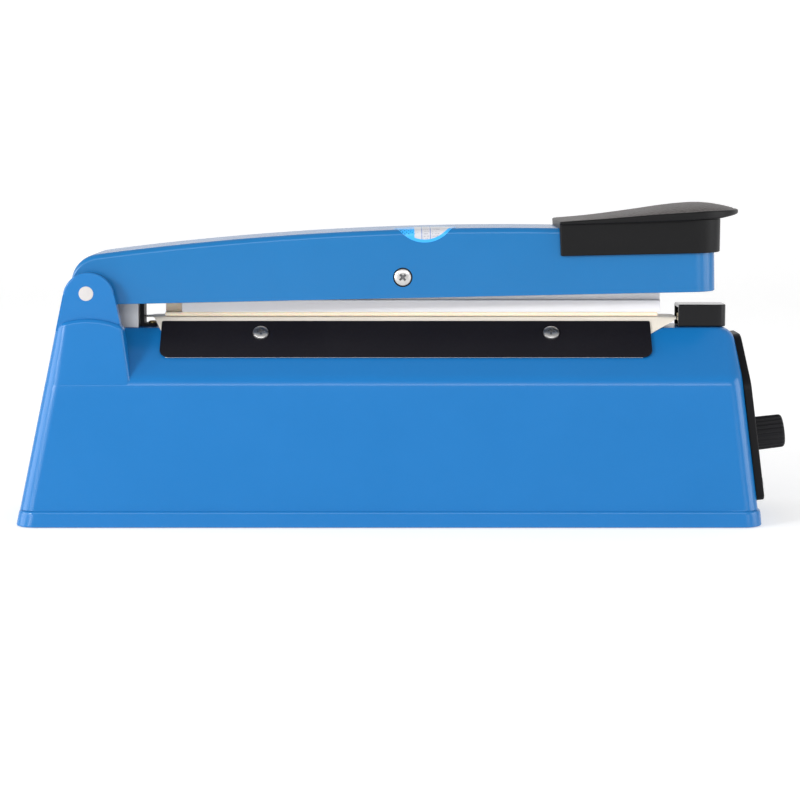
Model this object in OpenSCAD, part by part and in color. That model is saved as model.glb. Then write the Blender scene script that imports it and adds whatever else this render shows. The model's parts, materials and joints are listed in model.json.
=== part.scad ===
// Hand impulse heat sealer, 200 mm class.
// X runs along the object from the hinge end (-) to the control end (+), Y across it, Z up from the feet.

/* [Casing] */
// Overall length of the skirt at the floor
skirt_len = 306.5; // [300:0.5:310]
// Half of the skirt's width
skirt_half = 40; // [39:0.5:42]
// Gap between the skirt and the surface the feet stand on
skirt_gap = 0.3; // [0.2:0.1:1]
// Height at which the skirt ends and the drafted walls start
skirt_top = 7.6; // [6:0.1:9]
// Height of the crease where the walls turn into the roof
crease_z = 60; // [58:0.5:62]
// Height of the flat ridge on top of the roof
ridge_z = 80; // [79:0.5:81]
// Wall thickness of the moulded casing
casing_wall = 2.4; // [2:0.1:3]

/* [Hinge] */
// Distance of the hinge pin behind the middle of the object
pin_back = 130.9; // [130:0.1:132]
// Height of the hinge pin
pin_z = 95.2; // [94:0.1:96]
// Diameter of the hinge pin
pin_d = 6; // [5:0.5:7]
// Radius of the round top of each ear
ear_r = 11.3; // [10.8:0.1:11.8]

/* [Arm] */
// Angle by which the arm points up when the jaws almost meet
arm_tilt = 1.21; // [1:0.01:1.4]
// Distance from the pin to the arm's front end
arm_len = 259; // [256:1:262]
// Half of the arm's width
arm_half = 22; // [21:0.1:22.2]
// Wall thickness of the arm
arm_wall = 2.2; // [2:0.1:2.6]
// Radius of the long arch along the arm's top
arch_r = 1315; // [1250:5:1400]

/* [Jaws] */
// Length of the clamp strips and the width of bag they take
strip_len = 203.2; // [200:0.2:206]
// Length of the aluminium pressure bar
bar_len = 199.5; // [196:0.5:201]
// Height of the underside of the silicone strip
silicone_z = 84.6; // [84.5:0.1:85.2]

/* [Controls] */
// Height of the timer knob's axis at the end wall
knob_z = 33.4; // [30:0.1:36]
// Diameter of the timer knob at its base
knob_d = 14.5; // [13:0.1:16]
// Distance from the end wall to the knob's tip
knob_reach = 17.94; // [17.5:0.01:18.2]

/* [Hidden] */
$fn = 48;

near = 0.05;               // running and seating clearance between close-fitting pieces
rear_x = -160.25;          // rear end of the skirt
front_x = rear_x + skirt_len;
rear_slope = 0.1993;       // how far each end wall leans in per millimetre of height
front_slope = 0.1178;
side_slope = 0.1145;
base_half = 38.5;          // half width of the casing where the skirt ends
corner_r = 7;              // vertical corners of the casing
roof_plane = crease_z + base_half - (crease_z - skirt_top) * side_slope;  // |Y| + Z on the 45 degree roof
pin_x = -pin_back;
pin_r = pin_d / 2;
ear_inner = arm_half + 0.6;
ear_outer = 27.8;
tower_x = -130.2;          // middle of the two hinge towers
shoulder_r = 33.8;         // arc of the shoulder where an ear leaves its tower
shoulder_z = 85;
arm_bottom = -5.03;        // arm sizes are measured from the pin, along the arm
arm_rear = -7;
arch_x = 145;
arch_top = 23.35;
arm_corner = 10;
nose_r = 12.4;             // round of the arm's rear end above the pin
nose_x = arm_rear + nose_r;
jaw_bolt_x = 129.7;
jaw_bolt_z = 3.6;
jaw_bolt_r = 2;
press_x = 14;              // where the arm's adjusting screw meets the switch rod
rod_x = pin_x + press_x;
rail_top = 83.4;
cloth_top = 84.15;
cloth_t = 0.3;
strip_plane = roof_plane + 2;    // |Y| + Z on the outer face of the clamp strips
strip_top_y = 11.5;
strip_low_y = 25.3;
strip_screw_x = 60.2;
strip_screw_y = 16.4;
strip_corner = 4;
rear_post_x = -111.4;
cover_x = [113.9, 134];
tray_z = [1.2, 3];
boss_at = [for (x = [-146, 132], y = [-32.4, 32.4]) [x, y]];
face_tilt = atan(front_slope);
rear_tilt = atan(rear_slope);
panel_t = 3.2;
gland_z = 22;
bar_x = [-93.4, bar_len - 93.4];
bar_z = 85.2;              // foot of the groove in the pressure bar
bolt_world = [pin_x + jaw_bolt_x * cos(arm_tilt) - jaw_bolt_z * sin(arm_tilt),
    pin_z + jaw_bolt_x * sin(arm_tilt) + jaw_bolt_z * cos(arm_tilt)];
handle_screw_x = [208, 244];
core_x = [-73, -7];
core_z = 4.4;
board_z = 9;
panel_screw_at = [for (y = [-24, 24]) [17, y]];
standoff_at = [for (x = [46, 114], y = [-22, 22]) [x, y]];
transformer_screw_x = [-82, 2];
bracket_screw_at = [[-123, -4.4], [-123, 4.4]];
foot_at = [for (x = [-132, 118], y = [-27, 27]) [x, y]];
blue = [0.17, 0.51, 0.78];
dark = [0.13, 0.13, 0.14];

function side_half(z) = base_half - (z - skirt_top) * side_slope;
function rear_at(z) = -158.6 + (z - skirt_top) * rear_slope;
function front_at(z) = 144.65 - (z - skirt_top) * front_slope;
function arch_at(x) = arch_top - arch_r + sqrt(arch_r * arch_r - (x - arch_x) * (x - arch_x));

// ---- helpers ----

// Extrudes a (Y, Z) outline along X.
module along_x(x0, x1) translate([x0, 0, 0]) rotate([90, 0, 90]) linear_extrude(x1 - x0) children();

// Extrudes an (X, Z) outline along Y.
module along_y(y0, y1) translate([0, y1, 0]) rotate([90, 0, 0]) linear_extrude(y1 - y0) children();

// Draws the children once on each side of the middle plane.
module both_sides() for (m = [0, 1]) mirror([0, m, 0]) children();

// Draws the children at both ends of a local z axis.
module both_ends() for (m = [0, 1]) mirror([0, 0, m]) children();

// A rectangle with rounded corners from (x0, -half) to (x1, half).
module rounded_plan(x0, x1, half, r) {
    translate([x0 + r, -half]) square([x1 - x0 - 2 * r, 2 * half]);
    translate([x0, -half + r]) square([x1 - x0, 2 * half - 2 * r]);
    for (x = [x0 + r, x1 - r], y = [-half + r, half - r]) translate([x, y]) circle(r);
}

// A pan-head screw whose head sits on z = 0 and whose shank points down.
module pan_screw(head_r, head_h, shank_r, shank_l) {
    slot_w = head_r * 0.32;
    difference() {
        union() {
            cylinder(r = head_r, h = head_h * 0.55);
            translate([0, 0, head_h * 0.55]) cylinder(r1 = head_r, r2 = head_r * 0.66, h = head_h * 0.45);
            translate([0, 0, -shank_l]) cylinder(r = shank_r, h = shank_l);
        }
        translate([0, 0, head_h]) for (a = [0, 90]) rotate(a)
            cube([head_r * 1.15, slot_w, head_h], center = true);
    }
}

function unit(v) = v / norm(v);
function tangent(p, i) = unit(p[min(i + 1, len(p) - 1)] - p[max(i - 1, 0)]);

// A round wire of radius r along the points of a path. The path never runs along the reference direction.
module wire(path, r, ref, sides = 8) {
    rings = [for (i = [0:len(path) - 1])
        let (t = tangent(path, i), u = unit(cross(t, ref)), v = cross(t, u))
        for (k = [0:sides - 1]) path[i] + r * (cos(360 * k / sides) * u + sin(360 * k / sides) * v)];
    walls = [for (i = [0:len(path) - 2], k = [0:sides - 1], half = [0, 1])
        let (a = i * sides + k, b = i * sides + (k + 1) % sides)
        half == 0 ? [a, b, b + sides] : [a, b + sides, a + sides]];
    first = [for (k = [sides - 1:-1:0]) k];
    last = [for (k = [0:sides - 1]) (len(path) - 1) * sides + k];
    polyhedron(rings, concat([first], walls, [last]));
}

// Points of a helix about the Y axis.
function coil_y(r, y0, y1, turns, start, steps = 16) = [for (i = [0:turns * steps])
    [r * cos(start + 360 * i / steps), y0 + (y1 - y0) * i / (turns * steps), r * sin(start + 360 * i / steps)]];
// Points of a helix about the X axis.
function coil_x(r, x0, x1, turns, steps = 16) = [for (i = [0:turns * steps])
    [x0 + (x1 - x0) * i / (turns * steps), r * cos(360 * i / steps), r * sin(360 * i / steps)]];

// Frames: the arm from its pin, and the two sloping end walls with z pointing outwards.
module in_arm() translate([pin_x, 0, pin_z]) rotate([0, -arm_tilt, 0]) children();
module on_front_wall() translate([front_at(knob_z), 0, knob_z]) rotate([0, 90 - face_tilt, 0]) children();
module on_rear_wall() translate([rear_at(gland_z), 0, gland_z]) rotate([0, rear_tilt - 90, 0]) children();
// A point y from the middle on the outer face of the near clamp strip, with z pointing out of the roof.
module on_roof(x, y) translate([x, -y, strip_plane - y]) rotate([45, 0, 0]) children();

// ---- casing ----

module corner_discs(z, x0, x1, half, r) for (x = [x0 + r, x1 - r], y = [-half + r, half - r])
    translate([x, y, z]) cylinder(r = r, h = 0.01, $fn = 32);

module tower() {
    intersection() {
        along_y(-34, -ear_inner) intersection() {
            polygon([[rear_at(56), 56], [-112, 56], [-116, 81], [-117, 86], [rear_at(86), 86]]);
            translate([tower_x, shoulder_z - shoulder_r]) circle(r = shoulder_r, $fn = 180);
        }
        along_x(-150, -110) polygon([[-ear_inner, 56], [-side_half(56), 56], [-side_half(86), 86], [-ear_inner, 86]]);
    }
    along_y(-ear_outer, -ear_inner) {
        translate([tower_x - 0.1, 92.5]) circle(r = ear_r, $fn = 96);
        polygon([[tower_x - 11.3, 93.5], [tower_x + 11.1, 93.5], [-116.2, 80], [-144, 80]]);
    }
}

module casing() color(blue) difference() {
    union() {
        difference() {
            union() {
                hull() {
                    corner_discs(skirt_top - 1, rear_at(skirt_top - 1), front_at(skirt_top - 1),
                        side_half(skirt_top - 1), corner_r);
                    corner_discs(crease_z, rear_at(crease_z), front_at(crease_z), side_half(crease_z), corner_r);
                    corner_discs(ridge_z - 0.01, rear_at(ridge_z), front_at(ridge_z), roof_plane - ridge_z, 4);
                }
                hull() {
                    corner_discs(skirt_gap, rear_x, front_x, skirt_half, corner_r + 1);
                    corner_discs(skirt_top - 0.7, rear_x + 1.4, front_x - 0.8, skirt_half - 0.8, corner_r + 1);
                }
            }
            hull() {
                corner_discs(-1, rear_x + 3.3, front_x - 3.2, skirt_half - 3.2, 5);
                corner_discs(crease_z - 1, rear_at(crease_z) + casing_wall, front_at(crease_z) - casing_wall,
                    side_half(crease_z) - casing_wall, 5);
                corner_discs(ridge_z - casing_wall, rear_at(ridge_z) + 3, front_at(ridge_z) - 3,
                    roof_plane - ridge_z - 1, 3);
            }
        }
        both_sides() tower();
        for (p = boss_at) translate([p[0], p[1], tray_z[1] + near]) cylinder(r = 4.2, h = 16);
    }
    translate([pin_x, 0, pin_z]) rotate([90, 0, 0]) cylinder(r = pin_r, h = 80, center = true);
    for (p = boss_at) translate([p[0], p[1], 0]) cylinder(r = 1.5, h = 16);
    translate([rod_x, 0, 70]) cylinder(r = 1.7, h = 12);
    for (p = bracket_screw_at) translate([p[0], p[1], 70]) cylinder(r = 1.55, h = 12);
    for (x = [-70, 0, 70]) translate([x, 0, 70]) cylinder(r = 1.7, h = 12);
    translate([-106.6, 0, 70]) cylinder(r = 1.55, h = 12);
    translate([128, 0, 70]) cylinder(r = 1.55, h = 12);
    both_sides() for (x = [-strip_screw_x, strip_screw_x]) on_roof(x, strip_screw_y)
        translate([0, 0, -8]) cylinder(r = 1.7, h = 8);
    on_rear_wall() translate([0, 0, -6]) cylinder(r = 6, h = 12);
    on_front_wall() {
        translate([0, 0, -6]) cylinder(r = 3.6, h = 12);
        translate([-28, 0, -6]) cylinder(r = 2.6, h = 12);
        for (p = panel_screw_at) translate([p[0], p[1], -6]) cylinder(r = 1.3, h = 12);
    }
}

// ---- underside ----

module base_tray() color([0.2, 0.2, 0.21]) difference() {
    translate([0, 0, tray_z[0]]) linear_extrude(tray_z[1] - tray_z[0])
        rounded_plan(rear_x + 4.7, front_x - 4.3, skirt_half - 4.3, 4.6);
    for (p = boss_at) translate([p[0], p[1], 0]) cylinder(r = 1.6, h = 6);
    for (p = foot_at) translate([p[0], p[1], 0]) cylinder(r = 2.5, h = 6);
    for (x = transformer_screw_x) translate([x, 0, 0]) cylinder(r = 2.1, h = 6);
    for (p = standoff_at) translate([p[0], p[1], 0]) cylinder(r = 1.6, h = 6);
    for (x = [-128:6:-98]) translate([x, -18, 0]) cube([2.4, 36, 6]);
}

module rubber_feet() color([0.1, 0.1, 0.1]) for (p = foot_at) translate([p[0], p[1], 0]) {
    cylinder(r1 = 5.6, r2 = 6.2, h = tray_z[0]);
    cylinder(r = 2.5 - near, h = tray_z[1] + 0.8);
    translate([0, 0, tray_z[1]]) cylinder(r = 3.2, h = 1);
}

module base_screws() color([0.75, 0.75, 0.77]) for (p = boss_at)
    translate([p[0], p[1], tray_z[0]]) mirror([0, 0, 1]) pan_screw(2.8, 1, 1.45, 12);

module cord_gland() color(dark) on_rear_wall() difference() {
    union() {
        cylinder(r = 8.5, h = 1.2);
        translate([0, 0, 1.2]) cylinder(r1 = 8.5, r2 = 7, h = 1);
        translate([0, 0, -9.8]) cylinder(r = 6 - near, h = 9.8);
    }
    translate([0, 0, -12]) cylinder(r = 3.5, h = 16);
}

// ---- hinge ----

// A U-shaped steel bracket that straddles the return spring and steadies the pin.
module hinge_bracket() color([0.7, 0.71, 0.72]) difference() {
    union() {
        translate([-128, -11, ridge_z]) cube([16.6, 22, 1.2]);
        both_sides() along_y(-11, -9.6) {
            polygon([[-128, ridge_z], [-111.4, ridge_z], [-111.4, 92.6], [-128.6, 98.6], [-133.9, 92.6]]);
            translate([pin_x, pin_z]) circle(r = 4.4);
        }
    }
    translate([pin_x, 0, pin_z]) rotate([90, 0, 0]) cylinder(r = pin_r + near, h = 40, center = true);
    for (p = bracket_screw_at) translate([p[0], p[1], ridge_z - 1]) cylinder(r = 1.55, h = 4);
    translate([rod_x, 0, ridge_z - 1]) cylinder(r = 1.7, h = 4);
}

module bracket_screws() color([0.75, 0.75, 0.77]) for (p = bracket_screw_at)
    translate([p[0], p[1], ridge_z + 1.2]) pan_screw(1.9, 1.2, 1.5, 5.6);

module hinge_pin() color([0.93, 0.91, 0.88]) translate([pin_x, 0, pin_z]) rotate([90, 0, 0])
    cylinder(r = pin_r, h = 2 * ear_outer + 0.4, center = true);

module arm_return_spring() color([0.62, 0.63, 0.65]) translate([pin_x, 0, pin_z])
    wire(concat([[12.6, -6.2, -13.2], [8.4, -6.2, -9]], coil_y(3.9, -6, 6, 5, -45),
        [[4, 6.2, 1.6], [7, 6.3, 6], [11.4, 6.3, 13]]), 0.55, [0, 1, 0]);

// ---- lower jaw ----

module jaw_rail() color([0.78, 0.79, 0.8]) difference() {
    along_x(-strip_len / 2, strip_len / 2) polygon([
        [-(roof_plane - ridge_z), ridge_z], [roof_plane - ridge_z, ridge_z],
        [roof_plane - rail_top, rail_top], [-(roof_plane - rail_top), rail_top]]);
    for (x = [-70, 0, 70]) translate([x, 0, ridge_z - 1]) cylinder(r = 1.5, h = 3.4);
}

module rail_screws() color([0.75, 0.75, 0.77]) for (x = [-70, 0, 70])
    translate([x, 0, ridge_z - casing_wall - 0.05]) mirror([0, 0, 1]) pan_screw(2.8, 1.6, 1.45, 4.6);

module insulation_tape() color([0.86, 0.82, 0.7])
    translate([-strip_len / 2, -7, rail_top]) cube([strip_len, 14, 0.15]);

module heating_element() color([0.7, 0.68, 0.62]) {
    translate([rear_post_x - 2.6, -1, 83.6]) cube([229.4, 2, 0.2]);
    translate([rear_post_x - 2.6, -1, 82.2]) cube([0.3, 2, 1.6]);
}

// The (Y, Z) outline under a sheet whose sides lie on the plane |Y| + Z = slope and whose top is flat.
module folded_over(slope, top) polygon([[-25, slope - 25], [top - slope, top],
    [slope - top, top], [25, slope - 25]]);

// One folded sheet over the rail, held under both strips, with its ends cut to a taper.
module ptfe_cloth() color([0.89, 0.85, 0.76]) difference() {
    intersection() {
        along_x(-109.3, 113) difference() {
            folded_over(roof_plane + 0.5, cloth_top);
            folded_over(roof_plane + near, cloth_top - cloth_t);
        }
        linear_extrude(100) both_sides() polygon([[-109.3, 0], [-109.3, 1.9], [-101.2, 15], [-99, 24.4],
            [100, 24.4], [103, 17], [113, 2.6], [113, 0]]);
    }
    both_sides() for (x = [-strip_screw_x, strip_screw_x]) on_roof(x, strip_screw_y)
        translate([0, 0, -4]) cylinder(r = 1.9, h = 8);
}

module clamp_strip() difference() {
    along_x(-strip_len / 2, strip_len / 2) polygon([
        [-strip_low_y, strip_plane - strip_low_y], [-strip_top_y, strip_plane - strip_top_y],
        [-strip_top_y + 0.7, strip_plane - strip_top_y - 0.7],
        [-strip_low_y + 0.7, strip_plane - strip_low_y - 0.7]]);
    for (x = [-strip_screw_x, strip_screw_x]) on_roof(x, strip_screw_y) translate([0, 0, -4]) cylinder(r = 1.7, h = 8);
    for (m = [0, 1]) mirror([m, 0, 0]) on_roof(strip_len / 2, strip_low_y) difference() {
        translate([-strip_corner, -1, -4]) cube([strip_corner + 1, strip_corner + 1, 8]);
        translate([-strip_corner, strip_corner, -5]) cylinder(r = strip_corner, h = 10);
    }
}
module clamp_strip_near() color(dark) clamp_strip();
module clamp_strip_far() color(dark) mirror([0, 1, 0]) clamp_strip();

module strip_screws() color([0.8, 0.8, 0.82]) both_sides() for (x = [-strip_screw_x, strip_screw_x])
    on_roof(x, strip_screw_y) translate([0, 0, near]) pan_screw(3.35, 1.3, 1.5, 5.5);

// ---- terminals ----

module rear_terminal() color(dark) difference() {
    union() {
        translate([rear_post_x, -5, ridge_z]) cube([1.8, 10, 13]);
        translate([rear_post_x, -5, ridge_z]) cube([6.9, 10, 1.2]);
    }
    translate([-106.6, 0, ridge_z - 1]) cylinder(r = 1.55, h = 4);
    translate([rear_post_x - 1, -1.3, 83.3]) cube([4, 2.6, 0.8]);
}

module rear_terminal_screw() color([0.8, 0.74, 0.5]) translate([-106.6, 0, ridge_z + 1.2])
    pan_screw(1.7, 0.9, 1.5, 7.5);

module front_terminal_block() color([0.85, 0.83, 0.78]) difference() {
    union() {
        translate([118, -5, ridge_z + near]) cube([13.4, 10, 1.4]);
        translate([119, -5, ridge_z + near]) cube([3, 10, 6]);
    }
    translate([110, 0, 83.7]) rotate([0, 90, 0]) cylinder(r = 1.25, h = 16);
    translate([128, 0, ridge_z - 1]) cylinder(r = 1.55, h = 4);
}

module front_block_screw() color([0.8, 0.74, 0.5]) translate([128, 0, ridge_z - casing_wall - 0.05])
    mirror([0, 0, 1]) pan_screw(2.8, 1.4, 1.5, 3.6);

// The hook that keeps the ribbon tight: a clamp, a rod through the block and a flange for the spring.
module tension_hook() color([0.78, 0.66, 0.36]) {
    difference() {
        translate([114.4, -2.2, 82.2]) cube([3.2, 4.4, 3]);
        translate([113, -1.2, 83.45]) cube([3, 2.4, 0.5]);
    }
    translate([117, 0, 83.7]) rotate([0, 90, 0]) cylinder(r = 1.2, h = 13);
    translate([129.2, 0, 83.7]) rotate([0, 90, 0]) cylinder(r = 2, h = 1.2);
}

module tension_spring() color([0.62, 0.63, 0.65]) translate([0, 0, 83.7])
    wire(coil_x(1.75, 122.5, 128.7, 5, 12), 0.3, [1, 0, 0], 6);

// Hollow cover over the front terminal, open towards the jaws.
module terminal_cover() color(dark) difference() {
    translate([0, 0, ridge_z + near]) linear_extrude(9.3) intersection() {
        rounded_plan(cover_x[0] - 6, cover_x[1], 8, 4);
        translate([cover_x[0], -9]) square([30, 18]);
    }
    translate([0, 0, ridge_z - 1]) linear_extrude(8.8) intersection() {
        rounded_plan(cover_x[0] - 6, cover_x[1] - 1.6, 6.4, 2.8);
        translate([cover_x[0] - 1, -8]) square([30, 16]);
    }
}

// ---- controls ----

module control_panel() color(dark) on_front_wall() difference() {
    linear_extrude(panel_t) polygon([[23.4, -33], [23.4, 33], [-25, 28.2], [-43.9, 10.5], [-43.9, -10.5], [-25, -28.2]]);
    translate([0, 0, -1]) cylinder(r = 3.6, h = 6);
    translate([-28, 0, -1]) cylinder(r = 2.6, h = 6);
    for (p = panel_screw_at) translate([p[0], p[1], -1]) cylinder(r = 1.5, h = 6);
}

module panel_screws() color([0.75, 0.75, 0.77]) on_front_wall() for (p = panel_screw_at)
    translate([p[0], p[1], panel_t]) pan_screw(2.3, 1, 1.25, 7);

module indicator_lamp() color([0.85, 0.1, 0.08]) on_front_wall() translate([-28, 0, 0]) {
    translate([0, 0, -5]) cylinder(r = 2.5, h = 5 + panel_t + 0.4);
    translate([0, 0, panel_t + 0.4]) intersection() {
        sphere(2.5);
        cylinder(r = 4, h = 4);
    }
}

module potentiometer() color([0.55, 0.56, 0.58]) on_front_wall() difference() {
    union() {
        translate([0, 0, -12.4]) cylinder(r = 8, h = 9.8);
        translate([0, 0, -3]) cylinder(r = 3.5, h = 8.8);
        for (y = [-4, 0, 4]) translate([7, y - 0.6, -11.6]) cube([5, 1.2, 0.5]);
    }
    translate([0, 0, -9]) cylinder(r = 3 + near, h = 20);
}

module pot_nut() color([0.8, 0.8, 0.82]) on_front_wall() translate([0, 0, panel_t]) difference() {
    cylinder(r = 5, h = 2, $fn = 6);
    translate([0, 0, -1]) cylinder(r = 3.5 + near / 2, h = 5);
}

module pot_shaft() color([0.75, 0.75, 0.76]) on_front_wall() translate([0, 0, -8.6]) cylinder(r = 3, h = 24);

module timer_knob() color(dark) on_front_wall() difference() {
    union() {
        translate([0, 0, 3.6]) cylinder(r1 = knob_d / 2, r2 = knob_d / 2 - 0.25, h = knob_reach - 4.4);
        translate([0, 0, knob_reach - 0.8]) cylinder(r1 = knob_d / 2 - 0.25, r2 = knob_d / 2 - 0.8, h = 0.8);
    }
    translate([0, 0, 3]) cylinder(r = 6, h = 3.2);
    translate([0, 0, 3]) cylinder(r = 3, h = 12.4);
    for (i = [0:23]) rotate(i * 15) translate([knob_d / 2 + 0.25, 0, 5]) cylinder(r = 0.7, h = 20, $fn = 16);
}

// ---- timer electronics ----

module timer_board() color([0.1, 0.4, 0.2]) difference() {
    translate([40, -27, board_z]) cube([80, 54, 1.6]);
    for (p = standoff_at) translate([p[0], p[1], board_z - 1]) cylinder(r = 1.6, h = 4);
}

module board_standoffs() color([0.8, 0.74, 0.5]) for (p = standoff_at) translate([p[0], p[1], tray_z[1]])
    difference() {
        cylinder(r = 3, h = board_z - tray_z[1]);
        translate([0, 0, -1]) cylinder(r = 1.5, h = 9);
    }

module board_screws() color([0.75, 0.75, 0.77]) for (p = standoff_at)
    translate([p[0], p[1], board_z + 1.6]) pan_screw(2.8, 1.6, 1.45, 6);

module relay() color([0.12, 0.25, 0.55]) {
    translate([84, -10, board_z + 1.6]) cube([19, 15.5, 15.5]);
    translate([62, -6, board_z + 1.6]) cube([10, 4.6, 16]);
}

module board_capacitors() color([0.15, 0.15, 0.2])
    for (c = [[54, 16, 6.3, 18], [70, 17, 5, 12], [82, 17, 4, 11]])
        translate([c[0], c[1], board_z + 1.6]) cylinder(r = c[2], h = c[3]);

module board_connectors() color([0.15, 0.5, 0.3]) for (p = [[42, -18.4, 8], [108, -12, 8]]) difference() {
    translate([p[0], p[1], board_z + 1.6]) cube([p[2], 30, 10]);
    for (i = [0:4]) translate([p[0] + 4, p[1] + 3 + 6 * i, board_z + 8]) cylinder(r = 1.8, h = 10);
}

module transformer_core() color([0.35, 0.36, 0.38]) difference() {
    translate([core_x[0], -17, core_z]) cube([66, 34, 55]);
    for (x = [core_x[0] + 11, core_x[0] + 44]) translate([x, -18, core_z + 11]) cube([11, 36, 33]);
}

module transformer_coil() color([0.75, 0.42, 0.2]) difference() {
    translate([core_x[0] + 11.4, -27, core_z + 11.4]) cube([43.2, 54, 32.2]);
    translate([core_x[0] + 21.6, -17.4, core_z + 10]) cube([22.8, 34.8, 36]);
}

module transformer_bracket() color([0.7, 0.71, 0.72]) difference() {
    union() {
        translate([-90, -10, tray_z[1]]) cube([100, 20, 1.2]);
        for (x = [core_x[0] - 1.4, core_x[1] + 0.2]) translate([x, -10, tray_z[1]]) cube([1.2, 20, 57.8]);
        translate([core_x[0] - 1.4, -10, core_z + 55.2]) cube([68.8, 20, 1.2]);
    }
    for (x = transformer_screw_x) translate([x, 0, 0]) cylinder(r = 2.1, h = 6);
}

module transformer_screws() color([0.75, 0.75, 0.77]) for (x = transformer_screw_x)
    translate([x, 0, tray_z[0]]) mirror([0, 0, 1]) pan_screw(3.6, 1, 2, 6.5);

// ---- safety switch ----

module micro_switch() color(dark) difference() {
    translate([-126, -3.2, 60]) cube([20, 6.4, 12]);
    translate([rod_x, 0, 68.4]) cylinder(r = 1.7, h = 6);
}

module switch_bracket() color([0.7, 0.71, 0.72]) difference() {
    union() {
        translate([-126, 3.3, 61]) cube([20, 1.2, ridge_z - casing_wall - near - 61]);
        translate([-126, -7.2, ridge_z - casing_wall - near - 1.2]) cube([16.8, 14.4, 1.2]);
    }
    for (p = bracket_screw_at) translate([p[0], p[1], 70]) cylinder(r = 1.55, h = 12);
    translate([rod_x, 0, 70]) cylinder(r = 1.9, h = 12);
}

module switch_push_rod() color([0.93, 0.92, 0.88]) translate([rod_x, 0, 70.5]) cylinder(r = 1.5, h = 26.5);

// ---- leads held inside the casing ----

function lead(points, steps = 6) = [for (i = [0:len(points) - 2], k = [0:steps - 1])
    let (p0 = points[max(i - 1, 0)], p1 = points[i], p2 = points[i + 1], p3 = points[min(i + 2, len(points) - 1)],
        t = k / steps)
    0.5 * ((2 * p1) + (p2 - p0) * t + (2 * p0 - 5 * p1 + 4 * p2 - p3) * t * t
        + (3 * p1 - p0 - 3 * p2 + p3) * t * t * t)];

module mains_leads() {
    color([0.45, 0.27, 0.14]) wire(lead([[-144.4, -1.4, 20], [-130, -4, 22], [-110, -16, 20], [-84, -25, 14],
        [-40, -30.5, 9], [10, -28, 9], [34, -20, 20], [43, -15.8, 27], [46, -15.4, 24], [46, -15.4, 17.6]]), 1, [0, 1, 0]);
    color([0.15, 0.35, 0.7]) wire(lead([[-144.4, 1.4, 20], [-130, 4, 22], [-112, 14, 22], [-84, 23, 26],
        [-66, 28.6, 30]]), 1, [0, 1, 0]);
}

module jaw_leads() color([0.85, 0.83, 0.78]) {
    wire(lead([[-40, 28.6, 32], [-66, 27, 56], [-88, 16, 66], [-99, 7, 71], [-104, 3, 74]]), 1.3, [0, 1, 0]);
    wire(lead([[-22, -28.6, 30], [4, -27, 50], [50, -16, 62], [96, -6, 68], [123.6, -2, 74]]), 1.3, [0, 1, 0]);
}

module control_leads() color([0.8, 0.1, 0.1]) for (s = [-1, 1])
    wire(lead([[112, 3 + 6 * s, 17.6], [112, 3 + 6 * s, 24], [116, 2 + 5.5 * s, 30], [123, 4.5 * s, 29],
        [129.6, 4 * s, 23]]), 0.6, [0, 1, 0]);

// ---- arm ----

// The solid that fills the arm's outside, drawn smaller by an inset for its inside.
module arm_body(inset) intersection() {
    along_y(-arm_half + inset, arm_half - inset) intersection() {
        translate([arm_rear + inset, arm_bottom - (inset > 0 ? 5 : 0)])
            square([arm_len + 20, 40]);
        translate([arch_x, arch_top - arch_r]) circle(r = arch_r - inset, $fn = 1440);
        union() {
            translate([nose_x, -20]) square([300, 60]);
            translate([nose_x, (arch_at(nose_x) - nose_r)]) circle(r = nose_r - inset, $fn = 96);
            translate([arm_rear, -20]) square([20, 20 + (arch_at(nose_x) - nose_r)]);
        }
    }
    translate([0, 0, -20]) linear_extrude(60) rounded_plan(arm_rear - 20, arm_len - inset, arm_half - inset, arm_corner - inset);
}

module arm_shell() color(blue) in_arm() difference() {
    union() {
        difference() {
            arm_body(0);
            arm_body(arm_wall);
            translate([arm_rear - 1, -arm_half + arm_wall, -10]) cube([arm_wall + 2, 2 * (arm_half - arm_wall), 11]);
        }
        translate([press_x, 0, 6]) cylinder(r = 3.2, h = arch_at(press_x) - 7);
        for (x = handle_screw_x) translate([x, 0, 8]) cylinder(r = 3.6, h = arch_at(x) - 9);
    }
    rotate([90, 0, 0]) cylinder(r = pin_r + near, h = 60, center = true);
    translate([jaw_bolt_x, 0, jaw_bolt_z]) rotate([90, 0, 0]) {
        cylinder(r = jaw_bolt_r + near, h = 60, center = true);
        both_ends() translate([0, 0, arm_half - 1.2]) cylinder(r = 3.9, h = 3);
    }
    translate([press_x, 0, 2]) cylinder(r = 1.5, h = 10.5);
    for (x = handle_screw_x) translate([x, 0, 0]) cylinder(r = 1.6, h = 40);
}

module handle_grip() color([0.16, 0.16, 0.17]) in_arm() difference() {
    union() {
        translate([0, 0, 11]) linear_extrude(13.4) rounded_plan(194.7, arm_len + 2.3, arm_half + 2, arm_corner + 2);
        intersection() {
            along_y(-27, 27) polygon([[193.6, 23.8], [225, 24.2], [261, 25], [270.5, 26.4], [270.5, 27.6], [268, 28.8],
                [264.5, 29.9], [259.5, 30.9], [251, 31.5], [244, 31.2], [238, 30.5], [230, 29.3], [213, 27.2],
                [200, 25.8], [193.6, 25.2]]);
            linear_extrude(60) {
                translate([193.6, -25.4]) square([50, 50.8]);
                translate([243.6, 0]) circle(r = 26.9, $fn = 96);
            }
        }
    }
    arm_body(-near);
    for (x = handle_screw_x) translate([x, 0, 10]) cylinder(r = 1.4, h = arch_at(x) - 5.5);
}

module handle_screws() color([0.75, 0.75, 0.77]) in_arm() for (x = handle_screw_x)
    translate([x, 0, 8]) mirror([0, 0, 1]) pan_screw(2.9, 1.8, 1.35, arch_at(x) - 4);

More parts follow.
